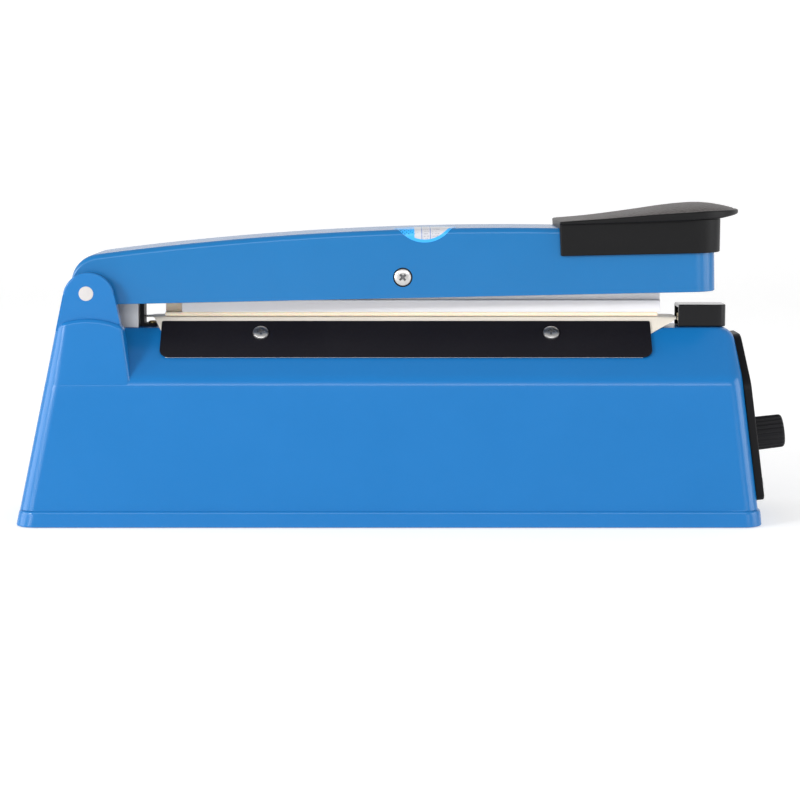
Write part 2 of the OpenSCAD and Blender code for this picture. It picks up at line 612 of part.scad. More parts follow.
module jaw_bolt() color([0.82, 0.82, 0.84]) in_arm() translate([jaw_bolt_x, -arm_half + 1.2, jaw_bolt_z])
    rotate([90, 0, 0]) pan_screw(3.5, 1.5, jaw_bolt_r, 2 * arm_half - 0.6);

module jaw_bolt_nut() color([0.8, 0.8, 0.82]) in_arm() translate([jaw_bolt_x, arm_half - 1.2, jaw_bolt_z])
    rotate([-90, 0, 0]) difference() {
        cylinder(r = 3.7, h = 2, $fn = 6);
        translate([0, 0, -1]) cylinder(r = jaw_bolt_r + near / 2, h = 5);
    }

module bolt_spacers() color([0.86, 0.85, 0.82]) both_sides() in_arm()
    translate([jaw_bolt_x, -7.6, jaw_bolt_z]) rotate([90, 0, 0]) difference() {
        cylinder(r = 4, h = arm_half - arm_wall - near - 7.6);
        translate([0, 0, -1]) cylinder(r = jaw_bolt_r + near, h = 20);
    }

module switch_adjusting_screw() color([0.75, 0.75, 0.77]) in_arm() translate([press_x, 0, 2.1])
    difference() {
        cylinder(r = 1.45, h = 10);
        translate([-2, -0.3, -1]) cube([4, 0.6, 1.8]);
    }

// A round sticker on the arm's top that wraps over its near edge.
module inspection_sticker() color([0.5, 0.78, 0.95]) in_arm() {
    translate([0, 0, 0]) intersection() {
        difference() {
            arm_body(-0.12);
            arm_body(-0.02);
        }
        union() {
            translate([139.3, -13.5, 10]) cylinder(r = 13, h = 20);
            translate([139.3, -arm_half + 1, arch_top - 1.4]) rotate([90, 0, 0]) cylinder(r = 10, h = 3);
        }
    }
}

// ---- upper jaw ----

module pressure_bar() color([0.86, 0.85, 0.87]) difference() {
    union() {
        along_x(bar_x[0], bar_x[1]) {
            translate([-9, bar_z + 1.1]) square([18, 5]);
            translate([-7, bar_z + 6]) square([14, 4.6]);
            translate([-1.5, bar_z + 10]) square([3, 5]);
        }
        along_y(-7, 7) {
            translate([bolt_world[0] - 9, bar_z + 10]) square([18, bolt_world[1] - bar_z - 10]);
            translate(bolt_world) circle(r = 5);
        }
    }
    translate([bolt_world[0], 0, bolt_world[1]]) rotate([90, 0, 0])
        cylinder(r = jaw_bolt_r + near, h = 30, center = true);
    along_x(bar_x[0] - 1, bar_x[1] + 1) translate([-4.6, bar_z]) square([9.2, 5.6]);
}

module silicone_strip() color([0.93, 0.86, 0.74]) along_x(bar_x[0] - 7.1, bar_x[1] - 1) {
    translate([-8.4, silicone_z]) square([16.8, bar_z + 1.1 - near - silicone_z]);
    translate([-4.5, bar_z + 1]) square([9, 4.5]);
}

casing();
base_tray();
rubber_feet();
base_screws();
cord_gland();
hinge_bracket();
bracket_screws();
hinge_pin();
arm_return_spring();
jaw_rail();
rail_screws();
insulation_tape();
heating_element();
ptfe_cloth();
clamp_strip_near();
clamp_strip_far();
strip_screws();
rear_terminal();
rear_terminal_screw();
front_terminal_block();
front_block_screw();
tension_hook();
tension_spring();
terminal_cover();
control_panel();
panel_screws();
indicator_lamp();
potentiometer();
pot_nut();
pot_shaft();
timer_knob();
timer_board();
board_standoffs();
board_screws();
relay();
board_capacitors();
board_connectors();
transformer_core();
transformer_coil();
transformer_bracket();
transformer_screws();
micro_switch();
switch_bracket();
switch_push_rod();
mains_leads();
jaw_leads();
control_leads();
arm_shell();
handle_grip();
handle_screws();
jaw_bolt();
jaw_bolt_nut();
bolt_spacers();
switch_adjusting_screw();
inspection_sticker();
pressure_bar();
silicone_strip();
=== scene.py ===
"""Looks of an impulse heat sealer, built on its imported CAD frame.

Sizes are in millimetres in the dataclasses and become metres when a piece is published.
X runs along the machine towards the controls, Y away from the viewer, Z up.
"""

import json
import logging
import math
from collections.abc import Callable, Sequence
from dataclasses import dataclass
from enum import Enum

import bmesh
import bpy
from mathutils import Matrix, Vector

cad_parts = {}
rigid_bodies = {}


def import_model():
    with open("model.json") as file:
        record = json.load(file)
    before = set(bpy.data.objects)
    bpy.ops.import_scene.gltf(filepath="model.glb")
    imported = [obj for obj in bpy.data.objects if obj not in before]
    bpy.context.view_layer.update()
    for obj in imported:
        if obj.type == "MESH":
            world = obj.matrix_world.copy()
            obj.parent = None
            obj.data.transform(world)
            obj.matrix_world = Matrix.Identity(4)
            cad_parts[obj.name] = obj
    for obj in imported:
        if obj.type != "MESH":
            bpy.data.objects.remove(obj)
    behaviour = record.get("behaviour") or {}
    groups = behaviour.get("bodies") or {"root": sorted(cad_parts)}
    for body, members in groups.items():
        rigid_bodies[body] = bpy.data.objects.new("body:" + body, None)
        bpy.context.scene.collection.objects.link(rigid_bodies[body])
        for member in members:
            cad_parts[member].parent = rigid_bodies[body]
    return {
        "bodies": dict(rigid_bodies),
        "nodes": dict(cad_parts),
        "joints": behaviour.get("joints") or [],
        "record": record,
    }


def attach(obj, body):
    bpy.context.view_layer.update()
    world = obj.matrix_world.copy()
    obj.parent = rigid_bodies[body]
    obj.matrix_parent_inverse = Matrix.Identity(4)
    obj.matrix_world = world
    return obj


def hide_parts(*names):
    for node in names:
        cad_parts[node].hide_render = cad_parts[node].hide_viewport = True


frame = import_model()

LOG = logging.getLogger("heat_sealer")
METRES = 0.001
WELD = 0.002
QUARTER = math.pi / 2
Outline = list[Vector]


class Body(str, Enum):
    """The moving bodies of the frame."""

    BASE = "base"
    ARM = "arm"
    JAW = "pressure_jaw"
    KNOB = "knob"
    ROD = "push_rod"
    TAKE_UP = "take_up"


class Slot(str, Enum):
    """The record's material slots."""

    CASING = "casing_blue"
    ARM = "arm_blue"
    TRAY = "tray_black"
    RUBBER = "rubber_black"
    ZINC = "zinc_steel"
    BRIGHT = "bright_screw"
    SPRING = "spring_steel"
    ALUMINIUM = "aluminium"
    BAR = "bar_white"
    SILICONE = "silicone_cream"
    CLOTH = "ptfe_cloth"
    TAPE = "glass_tape"
    ELEMENT = "element_alloy"
    STRIP = "strip_black"
    MOULDED = "moulded_black"
    GLOSS = "gloss_black"
    PANEL = "panel_black"
    KNOB = "knob_black"
    GRIP = "grip_black"
    IVORY = "pin_ivory"
    CERAMIC = "ceramic_white"
    BRASS = "brass"
    LAMP = "lamp_red"
    BOARD = "board_green"
    RELAY = "relay_blue"
    CAPACITOR = "capacitor_sleeve"
    CONNECTOR = "connector_green"
    CORE = "core_steel"
    COIL = "coil_wrap"
    BROWN = "lead_brown"
    WHITE = "lead_white"
    RED = "lead_red"
    STICKER = "sticker_film"


# ---- where things are ----


@dataclass(frozen=True)
class Layout:
    """Datum sizes shared by several sub-assemblies."""

    rear: float = -160.25
    front: float = 146.25
    skirt_half: float = 40.0
    skirt_top: float = 7.6
    wall_rear: float = -158.6
    wall_front: float = 144.65
    wall_half: float = 38.5
    crease: float = 60.0
    ridge: float = 80.0
    roof: float = 92.5
    rear_slope: float = 0.1993
    front_slope: float = 0.1178
    side_slope: float = 0.1145
    pin: tuple[float, float] = (-130.9, 95.2)
    arm_tilt: float = 1.21
    knob_height: float = 33.4
    strip_plane: float = 94.5

    def rear_at(self, z: float) -> float:
        """X of the rear wall at a height."""
        return self.wall_rear + (z - self.skirt_top) * self.rear_slope

    def front_at(self, z: float) -> float:
        """X of the front wall at a height."""
        return self.wall_front - (z - self.skirt_top) * self.front_slope

    def side_at(self, z: float) -> float:
        """Half width of the side walls at a height."""
        return self.wall_half - (z - self.skirt_top) * self.side_slope

    def arm_frame(self) -> Matrix:
        """The frame of the arm: its origin on the hinge pin, X along the arm."""
        turn = Matrix.Rotation(math.radians(-self.arm_tilt), 4, "Y")
        return Matrix.Translation((self.pin[0], 0.0, self.pin[1])) @ turn

    def panel_frame(self) -> Matrix:
        """The frame of the front wall: Z out of the wall, X down it, origin on the knob's axis."""
        tilt = QUARTER - math.atan(self.front_slope)
        place = Matrix.Translation((self.front_at(self.knob_height), 0.0, self.knob_height))
        return place @ Matrix.Rotation(tilt, 4, "Y")

    def rear_frame(self, z: float) -> Matrix:
        """A frame on the rear wall's middle line: Z out of the wall."""
        tilt = math.atan(self.rear_slope) - QUARTER
        return Matrix.Translation((self.rear_at(z), 0.0, z)) @ Matrix.Rotation(tilt, 4, "Y")

    def roof_frame(self, x: float, y: float, near: bool) -> Matrix:
        """A frame on a clamp strip: Z out of the 45 degree roof, Y up the slope."""
        side = -1.0 if near else 1.0
        place = Matrix.Translation((x, side * y, self.strip_plane - y))
        lean = Matrix.Rotation(QUARTER / 2, 4, "X")
        spin = Matrix.Identity(4) if near else Matrix.Rotation(math.pi, 4, "Z")
        return place @ spin @ lean


LAYOUT = Layout()


# ---- shader effects, each built once as a node group ----


class Shader:
    """A thin writer of shader nodes in one tree."""

    def __init__(self, tree: bpy.types.NodeTree) -> None:
        self.tree = tree

    def node(self, kind: str, settings: dict | None = None, **values: object) -> bpy.types.Node:
        """Adds a node.

        Args:
            kind: the node's type, such as ShaderNodeTexNoise.
            settings: attributes of the node, such as its operation.
            values: socket values or sockets to link, by socket name with _ for a space.

        Returns:
            The new node.
        """
        made = self.tree.nodes.new(kind)
        for name, value in (settings or {}).items():
            setattr(made, name, value)
        for name, value in values.items():
            spot = int(name[2:]) if name.startswith("in") else name.replace("_", " ")
            socket = made.inputs[spot]
            self.feed(socket, value)
        return made

    def feed(self, socket: bpy.types.NodeSocket, value: object) -> None:
        """Links an output to a socket, or sets the socket's constant."""
        if isinstance(value, bpy.types.NodeSocket):
            self.tree.links.new(value, socket)
        else:
            socket.default_value = value

    def maths(self, operation: str, first: object, second: object = 0.0) -> bpy.types.NodeSocket:
        """A Math node's output."""
        made = self.node("ShaderNodeMath", {"operation": operation}, in0=first, in1=second)
        return made.outputs[0]

    def mix(self, factor: object, first: object, second: object) -> bpy.types.NodeSocket:
        """A colour mix's output."""
        made = self.node("ShaderNodeMix", {"data_type": "RGBA"})
        self.feed(made.inputs[0], factor)
        self.feed(made.inputs[6], first)
        self.feed(made.inputs[7], second)
        return made.outputs[2]


class Effect:
    """A node group: an effect that several finishes share."""

    _made: dict[str, bpy.types.NodeTree] = {}

    def __init__(self, name: str, inputs: dict[str, object], outputs: dict[str, str]) -> None:
        self.tree = bpy.data.node_groups.new(name, "ShaderNodeTree")
        self.write = Shader(self.tree)
        for key, value in inputs.items():
            kind = "NodeSocketColor" if isinstance(value, tuple) else "NodeSocketFloat"
            socket = self.tree.interface.new_socket(name=key, in_out="INPUT", socket_type=kind)
            socket.default_value = value
        for key, kind in outputs.items():
            self.tree.interface.new_socket(name=key, in_out="OUTPUT", socket_type=kind)
        self.source = self.tree.nodes.new("NodeGroupInput").outputs
        self.sink = self.tree.nodes.new("NodeGroupOutput").inputs
        Effect._made[name] = self.tree

    @staticmethod
    def of(name: str) -> bpy.types.NodeTree:
        """The group of that name."""
        return Effect._made[name]

    def place(self) -> bpy.types.NodeSocket:
        """Object coordinates."""
        return self.write.node("ShaderNodeTexCoord").outputs["Object"]


COLOUR = "NodeSocketColor"
NUMBER = "NodeSocketFloat"
TONE_SCALE = 30.0
CLOTH_PITCH = 5200.0
CLOTH_SHADE = 0.18
BRUSH_SWING = 0.16
COAT_ROUGHNESS = 0.12
SCATTER = 0.002
FADE_START = -0.1
FADE_END = 0.5


def build_tone() -> None:
    """Slow shifts of lightness and gloss over a moulding or a coat."""
    made = Effect("tone", {"Colour": (0.5, 0.5, 0.5, 1.0), "Roughness": 0.5, "Amount": 0.1,
                           "Scale": TONE_SCALE},
                  {"Colour": COLOUR, "Roughness": NUMBER})
    write = made.write
    broad = write.node("ShaderNodeTexNoise", Vector=made.place(), Scale=made.source["Scale"], Detail=4.0,
                       Roughness=0.6).outputs["Fac"]
    swing = write.maths("MULTIPLY", write.maths("SUBTRACT", broad, 0.5), made.source["Amount"])
    gain = write.maths("ADD", write.maths("MULTIPLY", swing, 2.0), 1.0)
    shade = write.node("ShaderNodeVectorMath", {"operation": "SCALE"}, in0=made.source["Colour"])
    write.feed(shade.inputs["Scale"], gain)
    write.feed(made.sink["Colour"], shade.outputs[0])
    write.feed(made.sink["Roughness"],
               write.maths("ADD", made.source["Roughness"], write.maths("MULTIPLY", swing, 1.2)))


def build_dust() -> None:
    """A thin pale film on faces that look up."""
    made = Effect("dust", {"Colour": (0.5, 0.5, 0.5, 1.0), "Roughness": 0.5, "Amount": 0.1},
                  {"Colour": COLOUR, "Roughness": NUMBER})
    write = made.write
    facing = write.node("ShaderNodeSeparateXYZ",
                        Vector=write.node("ShaderNodeNewGeometry").outputs["Normal"])
    up = write.node("ShaderNodeMapRange", Value=facing.outputs["Z"], From_Min=0.55,
                    From_Max=1.0).outputs["Result"]
    specks = write.node("ShaderNodeTexNoise", Vector=made.place(), Scale=900.0, Detail=3.0, Roughness=0.7)
    drift = write.node("ShaderNodeTexNoise", Vector=made.place(), Scale=25.0, Detail=2.0)
    patch = write.maths("MULTIPLY", specks.outputs["Fac"], drift.outputs["Fac"])
    cover = write.maths("MULTIPLY", write.maths("MULTIPLY", up, patch), made.source["Amount"])
    write.feed(made.sink["Colour"], write.mix(cover, made.source["Colour"], (0.55, 0.54, 0.52, 1.0)))
    write.feed(made.sink["Roughness"],
               write.maths("ADD", made.source["Roughness"], write.maths("MULTIPLY", cover, 0.5)))


def build_grain() -> None:
    """The fine height of a moulded, sprayed or cast surface."""
    made = Effect("grain", {"Scale": 1500.0, "Spread": 0.0}, {"Height": NUMBER})
    write = made.write
    fine = write.node("ShaderNodeTexNoise", Vector=made.place(), Scale=made.source["Scale"],
                      Detail=3.0).outputs["Fac"]
    broad = write.node("ShaderNodeTexNoise", Vector=made.place(), Scale=45.0, Detail=1.0).outputs["Fac"]
    write.feed(made.sink["Height"],
               write.maths("ADD", fine, write.maths("MULTIPLY", broad, made.source["Spread"])))


def build_brushed() -> None:
    """Long fine scratches along X, as height and as a change of gloss."""
    made = Effect("brushed", {"Roughness": 0.35, "Amount": 0.1}, {"Roughness": NUMBER, "Height": NUMBER})
    write = made.write
    stretch = write.node("ShaderNodeMapping", Vector=made.place(), Scale=(40.0, 2600.0, 2600.0))
    lines = write.node("ShaderNodeTexNoise", Vector=stretch.outputs[0], Scale=1.0,
                       Detail=3.0).outputs["Fac"]
    swing = write.maths("MULTIPLY", write.maths("SUBTRACT", lines, 0.5), made.source["Amount"])
    write.feed(made.sink["Roughness"], write.maths("ADD", made.source["Roughness"], swing))
    write.feed(made.sink["Height"], lines)


def build_weave() -> None:
    """Crossing threads, as height and as a light and dark of colour."""
    made = Effect("weave", {"Colour": (0.5, 0.5, 0.5, 1.0), "Pitch": 1400.0, "Amount": 0.2},
                  {"Colour": COLOUR, "Height": NUMBER})
    write = made.write
    grid = write.node("ShaderNodeSeparateXYZ",
                      Vector=write.node("ShaderNodeUVMap", {"uv_map": "flat"}).outputs[0])
    waves = []
    for axis in ("X", "Y"):
        turn = write.maths("MULTIPLY", grid.outputs[axis], made.source["Pitch"])
        waves.append(write.maths("SINE", turn))
    height = write.maths("ABSOLUTE", write.maths("MULTIPLY", waves[0], waves[1]))
    dim = write.maths("MULTIPLY", height, made.source["Amount"])
    write.feed(made.sink["Colour"], write.mix(dim, made.source["Colour"], (0.42, 0.35, 0.25, 1.0)))
    write.feed(made.sink["Height"], height)


def build_pebble() -> None:
    """Rounded pebbles of a moulded grip, with painted shade darkening the valleys between them."""
    made = Effect("pebble", {"Colour": (0.5, 0.5, 0.5, 1.0), "Scale": 700.0},
                  {"Colour": COLOUR, "Height": NUMBER})
    write = made.write
    cells = write.node("ShaderNodeTexVoronoi", {"feature": "SMOOTH_F1"}, Vector=made.place(),
                       Scale=made.source["Scale"], Smoothness=0.6, Randomness=0.9).outputs["Distance"]
    crown = write.maths("SUBTRACT", 1.0, cells)
    # Painted shade: the colour darkens towards the valleys between the pebbles.
    valley_shade = write.node("ShaderNodeMapRange", Value=cells, From_Min=0.45, From_Max=0.9).outputs["Result"]
    write.feed(made.sink["Colour"], write.mix(write.maths("MULTIPLY", valley_shade, 0.6), made.source["Colour"],
                                              (0.01, 0.01, 0.01, 1.0)))
    write.feed(made.sink["Height"], crown)


def build_label() -> None:
    """A coloured disc with a pale cut circle on it, two thin rules and rows of small plain marks."""
    made = Effect("label", {"Ring": (0.1, 0.5, 0.9, 1.0), "Paper": (0.8, 0.8, 0.8, 1.0)},
                  {"Colour": COLOUR})
    write = made.write
    flat = write.node("ShaderNodeUVMap", {"uv_map": "flat"}).outputs[0]
    centred = write.node("ShaderNodeVectorMath", {"operation": "SUBTRACT"}, in0=flat,
                         in1=(0.5, 0.5, 0.0)).outputs[0]
    across, out = write.node("ShaderNodeSeparateXYZ", Vector=centred).outputs[:2]
    radius = write.node("ShaderNodeVectorMath", {"operation": "LENGTH"}, in0=centred).outputs["Value"]

    def near(value: bpy.types.NodeSocket, place: float, reach: float) -> bpy.types.NodeSocket:
        return write.maths("LESS_THAN", write.maths("ABSOLUTE", write.maths("SUBTRACT", value, place)),
                           reach)

    pale = write.maths("MULTIPLY", write.maths("LESS_THAN", radius, 0.452),
                       write.maths("GREATER_THAN", across, -0.17))
    rules = write.maths("MAXIMUM", near(across, -0.055, 0.006), near(across, 0.08, 0.006))
    stretch = write.node("ShaderNodeMapping", Vector=flat, Scale=(60.0, 25.0, 1.0)).outputs[0]
    blots = write.node("ShaderNodeTexNoise", Vector=stretch, Scale=1.0, Detail=1.0).outputs["Fac"]
    rows = write.maths("GREATER_THAN", write.maths("SINE", write.maths("MULTIPLY", out, 160.0)), 0.2)
    columns = write.maths("MAXIMUM", near(across, 0.012, 0.04), near(across, 0.17, 0.06))
    marks = write.maths("MULTIPLY", write.maths("MULTIPLY", rows, columns),
                        write.maths("GREATER_THAN", blots, 0.5))
    marked = write.mix(write.maths("MULTIPLY", marks, 0.5), made.source["Paper"], (0.12, 0.12, 0.18, 1.0))
    ruled = write.mix(write.maths("MULTIPLY", rules, 0.8), marked, (0.03, 0.12, 0.4, 1.0))
    write.feed(made.sink["Colour"], write.mix(pale, made.source["Ring"], ruled))


def build_fade() -> None:
    """A glow that fades towards the front of the floor."""
    made = Effect("fade", {"Near": 0.1, "Far": 0.5}, {"Strength": NUMBER})
    write = made.write
    along = write.node("ShaderNodeSeparateXYZ", Vector=made.place()).outputs["Y"]
    rise = write.node("ShaderNodeMapRange", {"interpolation_type": "SMOOTHSTEP"}, Value=along,
                      From_Min=FADE_START, From_Max=FADE_END,
                      To_Min=made.source["Near"], To_Max=made.source["Far"])
    write.feed(made.sink["Strength"], rise.outputs["Result"])


class Pattern(str, Enum):
    """What a finish adds to its plain surface."""

    PLAIN = "plain"
    BRUSHED = "brushed"
    WEAVE = "weave"
    PEBBLE = "pebble"
    LABEL = "label"
    FADE = "fade"


@dataclass(frozen=True)
class Finish:
    """One procedural finish."""

    name: str
    colour: tuple[float, float, float]
    roughness: float = 0.5
    metallic: float = 0.0
    specular: float = 0.5
    coat: float = 0.0
    tone: float = 0.05
    dust: float = 0.0
    grain: float = 1500.0
    depth: float = 0.00002
    spread: float = 0.0
    subsurface: float = 0.0
    glow: float = 0.0
    shine: tuple[float, float, float] = (1.0, 1.0, 1.0)
    pattern: Pattern = Pattern.PLAIN
    ring: tuple[float, float, float] = (0.1, 0.5, 0.9)

    def material(self) -> bpy.types.Material:
        """Builds the finish once and returns its material."""
        title = f"{self.name}_finish"
        found = bpy.data.materials.get(title)
        if found is not None:
            return found
        made = bpy.data.materials.new(title)
        made.use_nodes = True
        write = Shader(made.node_tree)
        surface = made.node_tree.nodes["Principled BSDF"]
        base = (*self.colour, 1.0)
        made.diffuse_color = base
        constants = {"Metallic": self.metallic, "Specular IOR Level": self.specular,
                     "Coat Weight": self.coat, "Coat Roughness": COAT_ROUGHNESS,
                     "Subsurface Weight": self.subsurface, "Subsurface Scale": SCATTER,
                     "Emission Strength": self.glow}
        for key, value in constants.items():
            surface.inputs[key].default_value = value
        surface.inputs["Emission Color"].default_value = (*self.shine, 1.0)
        tone = self._effect(write, "tone", Colour=base, Roughness=self.roughness, Amount=self.tone,
                            Scale=TONE_SCALE)
        colour, rough = tone.outputs["Colour"], tone.outputs["Roughness"]
        height = self._effect(write, "grain", Scale=self.grain, Spread=self.spread).outputs["Height"]
        if self.pattern is Pattern.BRUSHED:
            lines = self._effect(write, "brushed", Roughness=rough, Amount=BRUSH_SWING)
            rough, height = lines.outputs["Roughness"], lines.outputs["Height"]
        elif self.pattern is Pattern.WEAVE:
            cloth = self._effect(write, "weave", Colour=colour, Pitch=CLOTH_PITCH, Amount=CLOTH_SHADE)
            colour, height = cloth.outputs["Colour"], cloth.outputs["Height"]
        elif self.pattern is Pattern.PEBBLE:
            pebbles = self._effect(write, "pebble", Colour=colour, Scale=self.grain)
            colour, height = pebbles.outputs["Colour"], pebbles.outputs["Height"]
        elif self.pattern is Pattern.LABEL:
            colour = self._effect(write, "label", Ring=(*self.ring, 1.0), Paper=base).outputs["Colour"]
        if self.pattern is Pattern.FADE:
            glow = self._effect(write, "fade", Near=self.glow * 0.85, Far=self.glow)
            write.feed(surface.inputs["Emission Strength"], glow.outputs["Strength"])
        if self.dust > 0.0:
            film = self._effect(write, "dust", Colour=colour, Roughness=rough, Amount=self.dust)
            colour, rough = film.outputs["Colour"], film.outputs["Roughness"]
        bump = write.node("ShaderNodeBump", Strength=1.0, Distance=self.depth, Height=height)
        write.feed(surface.inputs["Base Color"], colour)
        write.feed(surface.inputs["Roughness"], rough)
        write.feed(surface.inputs["Normal"], bump.outputs["Normal"])
        return made

    @staticmethod
    def _effect(write: Shader, name: str, **values: object) -> bpy.types.Node:
        """Adds one shared effect to a material's tree."""
        return write.node("ShaderNodeGroup", {"node_tree": Effect.of(name)}, **values)


class Palette:
    """Every finish, by the slot it stands for."""

    blue = Finish("casing_blue", (0.005, 0.142, 0.4), roughness=0.25, specular=0.4, tone=0.04, dust=0.05,
                  depth=0.000012)
    blue_arm = Finish("arm_blue", (0.005, 0.136, 0.36), roughness=0.25, specular=0.4, tone=0.05, dust=0.06,
                      depth=0.000012,
                      spread=0.3)
    tray = Finish("tray_black", (0.03, 0.03, 0.032), roughness=0.55, grain=900.0, depth=0.00005)
    rubber = Finish("rubber_black", (0.02, 0.02, 0.02), roughness=0.75, tone=0.15, depth=0.00004)
    zinc = Finish("zinc_steel", (0.52, 0.53, 0.55), roughness=0.38, metallic=1.0, tone=0.12,
                  pattern=Pattern.BRUSHED, depth=0.00001)
    bright = Finish("bright_screw", (0.6, 0.59, 0.58), roughness=0.3, metallic=1.0, tone=0.08,
                    depth=0.000004)
    spring = Finish("spring_steel", (0.4, 0.41, 0.43), roughness=0.28, metallic=1.0, tone=0.12,
                    depth=0.000006)
    aluminium = Finish("aluminium", (0.66, 0.67, 0.69), roughness=0.4, metallic=1.0,
                       pattern=Pattern.BRUSHED,
                       depth=0.000008)
    bar = Finish("bar_white", (0.84, 0.83, 0.85), roughness=0.42, tone=0.03, depth=0.000006)
    silicone = Finish("silicone_cream", (0.93, 0.78, 0.6), roughness=0.55, tone=0.04, subsurface=0.25,
                      depth=0.00002)
    cloth = Finish("ptfe_cloth", (0.86, 0.8, 0.7), roughness=0.36, tone=0.1, pattern=Pattern.WEAVE,
                   depth=0.00005)
    tape = Finish("glass_tape", (0.72, 0.66, 0.46), roughness=0.6, tone=0.1, depth=0.00004)
    element = Finish("element_alloy", (0.42, 0.4, 0.36), roughness=0.35, metallic=1.0, tone=0.2,
                     pattern=Pattern.BRUSHED, depth=0.000006)
    strip = Finish("strip_black", (0.006, 0.0055, 0.0085), roughness=0.34, specular=0.13, tone=0.1,
                   dust=0.06, grain=1100.0,
                   depth=0.00001, spread=0.5)
    moulded = Finish("moulded_black", (0.012, 0.012, 0.014), roughness=0.45, specular=0.13, tone=0.1,
                     depth=0.00003)
    gloss = Finish("gloss_black", (0.004, 0.004, 0.005), roughness=0.14, specular=0.2, tone=0.06, coat=0.1,
                   depth=0.000006)
    panel = Finish("panel_black", (0.005, 0.005, 0.006), roughness=0.42, specular=0.13, tone=0.1,
                   grain=2200.0, depth=0.00003)
    knob = Finish("knob_black", (0.014, 0.014, 0.016), roughness=0.38, specular=0.13, tone=0.1,
                  depth=0.00002)
    grip = Finish("grip_black", (0.008, 0.008, 0.0085), roughness=0.4, specular=0.13, tone=0.08, dust=0.04,
                  depth=0.00002)
    pebbled = Finish("grip_pebbled", (0.062, 0.052, 0.05), roughness=0.5, tone=0.15, dust=0.12, grain=780.0,
                     depth=0.00028, pattern=Pattern.PEBBLE)
    ivory = Finish("pin_ivory", (0.52, 0.5, 0.49), roughness=0.4, tone=0.04, subsurface=0.1)
    ceramic = Finish("ceramic_white", (0.78, 0.76, 0.7), roughness=0.7, grain=700.0, depth=0.00005)
    brass = Finish("brass", (0.62, 0.46, 0.2), roughness=0.3, metallic=1.0, tone=0.15, depth=0.000006)
    lamp = Finish("lamp_red", (0.62, 0.012, 0.01), roughness=0.18, tone=0.04, coat=0.4, glow=0.05,
                  shine=(1.0, 0.05, 0.03), subsurface=0.2)
    board = Finish("board_green", (0.02, 0.16, 0.05), roughness=0.35, tone=0.1)
    relay = Finish("relay_blue", (0.02, 0.06, 0.3), roughness=0.3)
    capacitor = Finish("capacitor_sleeve", (0.02, 0.02, 0.05), roughness=0.25)
    connector = Finish("connector_green", (0.03, 0.3, 0.12), roughness=0.45)
    core = Finish("core_steel", (0.12, 0.12, 0.13), roughness=0.45, metallic=0.8, tone=0.2,
                  pattern=Pattern.BRUSHED)
    coil = Finish("coil_wrap", (0.5, 0.2, 0.06), roughness=0.35, tone=0.15)
    brown = Finish("lead_brown", (0.16, 0.07, 0.03), roughness=0.45)
    white = Finish("lead_white", (0.7, 0.68, 0.62), roughness=0.6)
    red = Finish("lead_red", (0.5, 0.02, 0.02), roughness=0.45)
    sticker = Finish("sticker_film", (0.5, 0.5, 0.53), roughness=0.32, tone=0.02, depth=0.000004,
                     pattern=Pattern.LABEL, ring=(0.03, 0.36, 0.8))
    ink = Finish("panel_ink", (0.78, 0.78, 0.76), roughness=0.5, tone=0.03)
    # Darker steel for the walls and floor of cross recesses: painted shade inside the recess.
    worn = Finish("screw_recess_shade", (0.16, 0.16, 0.165), roughness=0.5, metallic=0.6, tone=0.05)
    recess = Finish("recess_shadow", (0.004, 0.006, 0.012), roughness=0.7, tone=0.02)


# ---- meshes ----


def rounded_plan(x0: float, x1: float, half: float, rear_r: float, front_r: float,
                 shares: Sequence[float], steps: int = 6) -> list[tuple[float, float]]:
    """A rounded rectangle with one point count whatever its sizes.

    Args:
        x0: rear end.
        x1: front end.
        half: half width.
        rear_r: corner radius at the rear.
        front_r: corner radius at the front.
        shares: places of the long sides' points, as shares of their straight part.
        steps: steps in each corner.

    Returns:
        Points from the rear near corner, along the near side and round.
    """
    rear_r, front_r = max(rear_r, 0.0), max(front_r, 0.0)
    start, length = x0 + rear_r, (x1 - front_r) - (x0 + rear_r)
    points = [(start + length * share, -half) for share in shares]

    def corner(cx: float, cy: float, radius: float, begin: float) -> list[tuple[float, float]]:
        turns = [begin + QUARTER * i / steps for i in range(1, steps)]
        return [(cx + radius * math.cos(a), cy + radius * math.sin(a)) for a in turns]

    points += corner(x1 - front_r, -half + front_r, front_r, -QUARTER)
    points += [(x1, -half + front_r), (x1, half - front_r)]
    points += corner(x1 - front_r, half - front_r, front_r, 0.0)
    points += [(start + length * share, half) for share in reversed(shares)]
    points += corner(start, half - rear_r, rear_r, QUARTER)
    points += [(x0, half - rear_r), (x0, -half + rear_r)]
    points += corner(start, -half + rear_r, rear_r, 2 * QUARTER)
    return points


def even(count: int) -> list[float]:
    """Evenly spread shares from 0 to 1."""
    return [i / count for i in range(count + 1)]


def arc(centre: tuple[float, float], radius: float, begin: float, end: float,
        steps: int) -> list[tuple[float, float]]:
    """Points of an arc, its angles in degrees."""
    turns = [math.radians(begin + (end - begin) * i / steps) for i in range(steps + 1)]
    return [(centre[0] + radius * math.cos(a), centre[1] + radius * math.sin(a)) for a in turns]


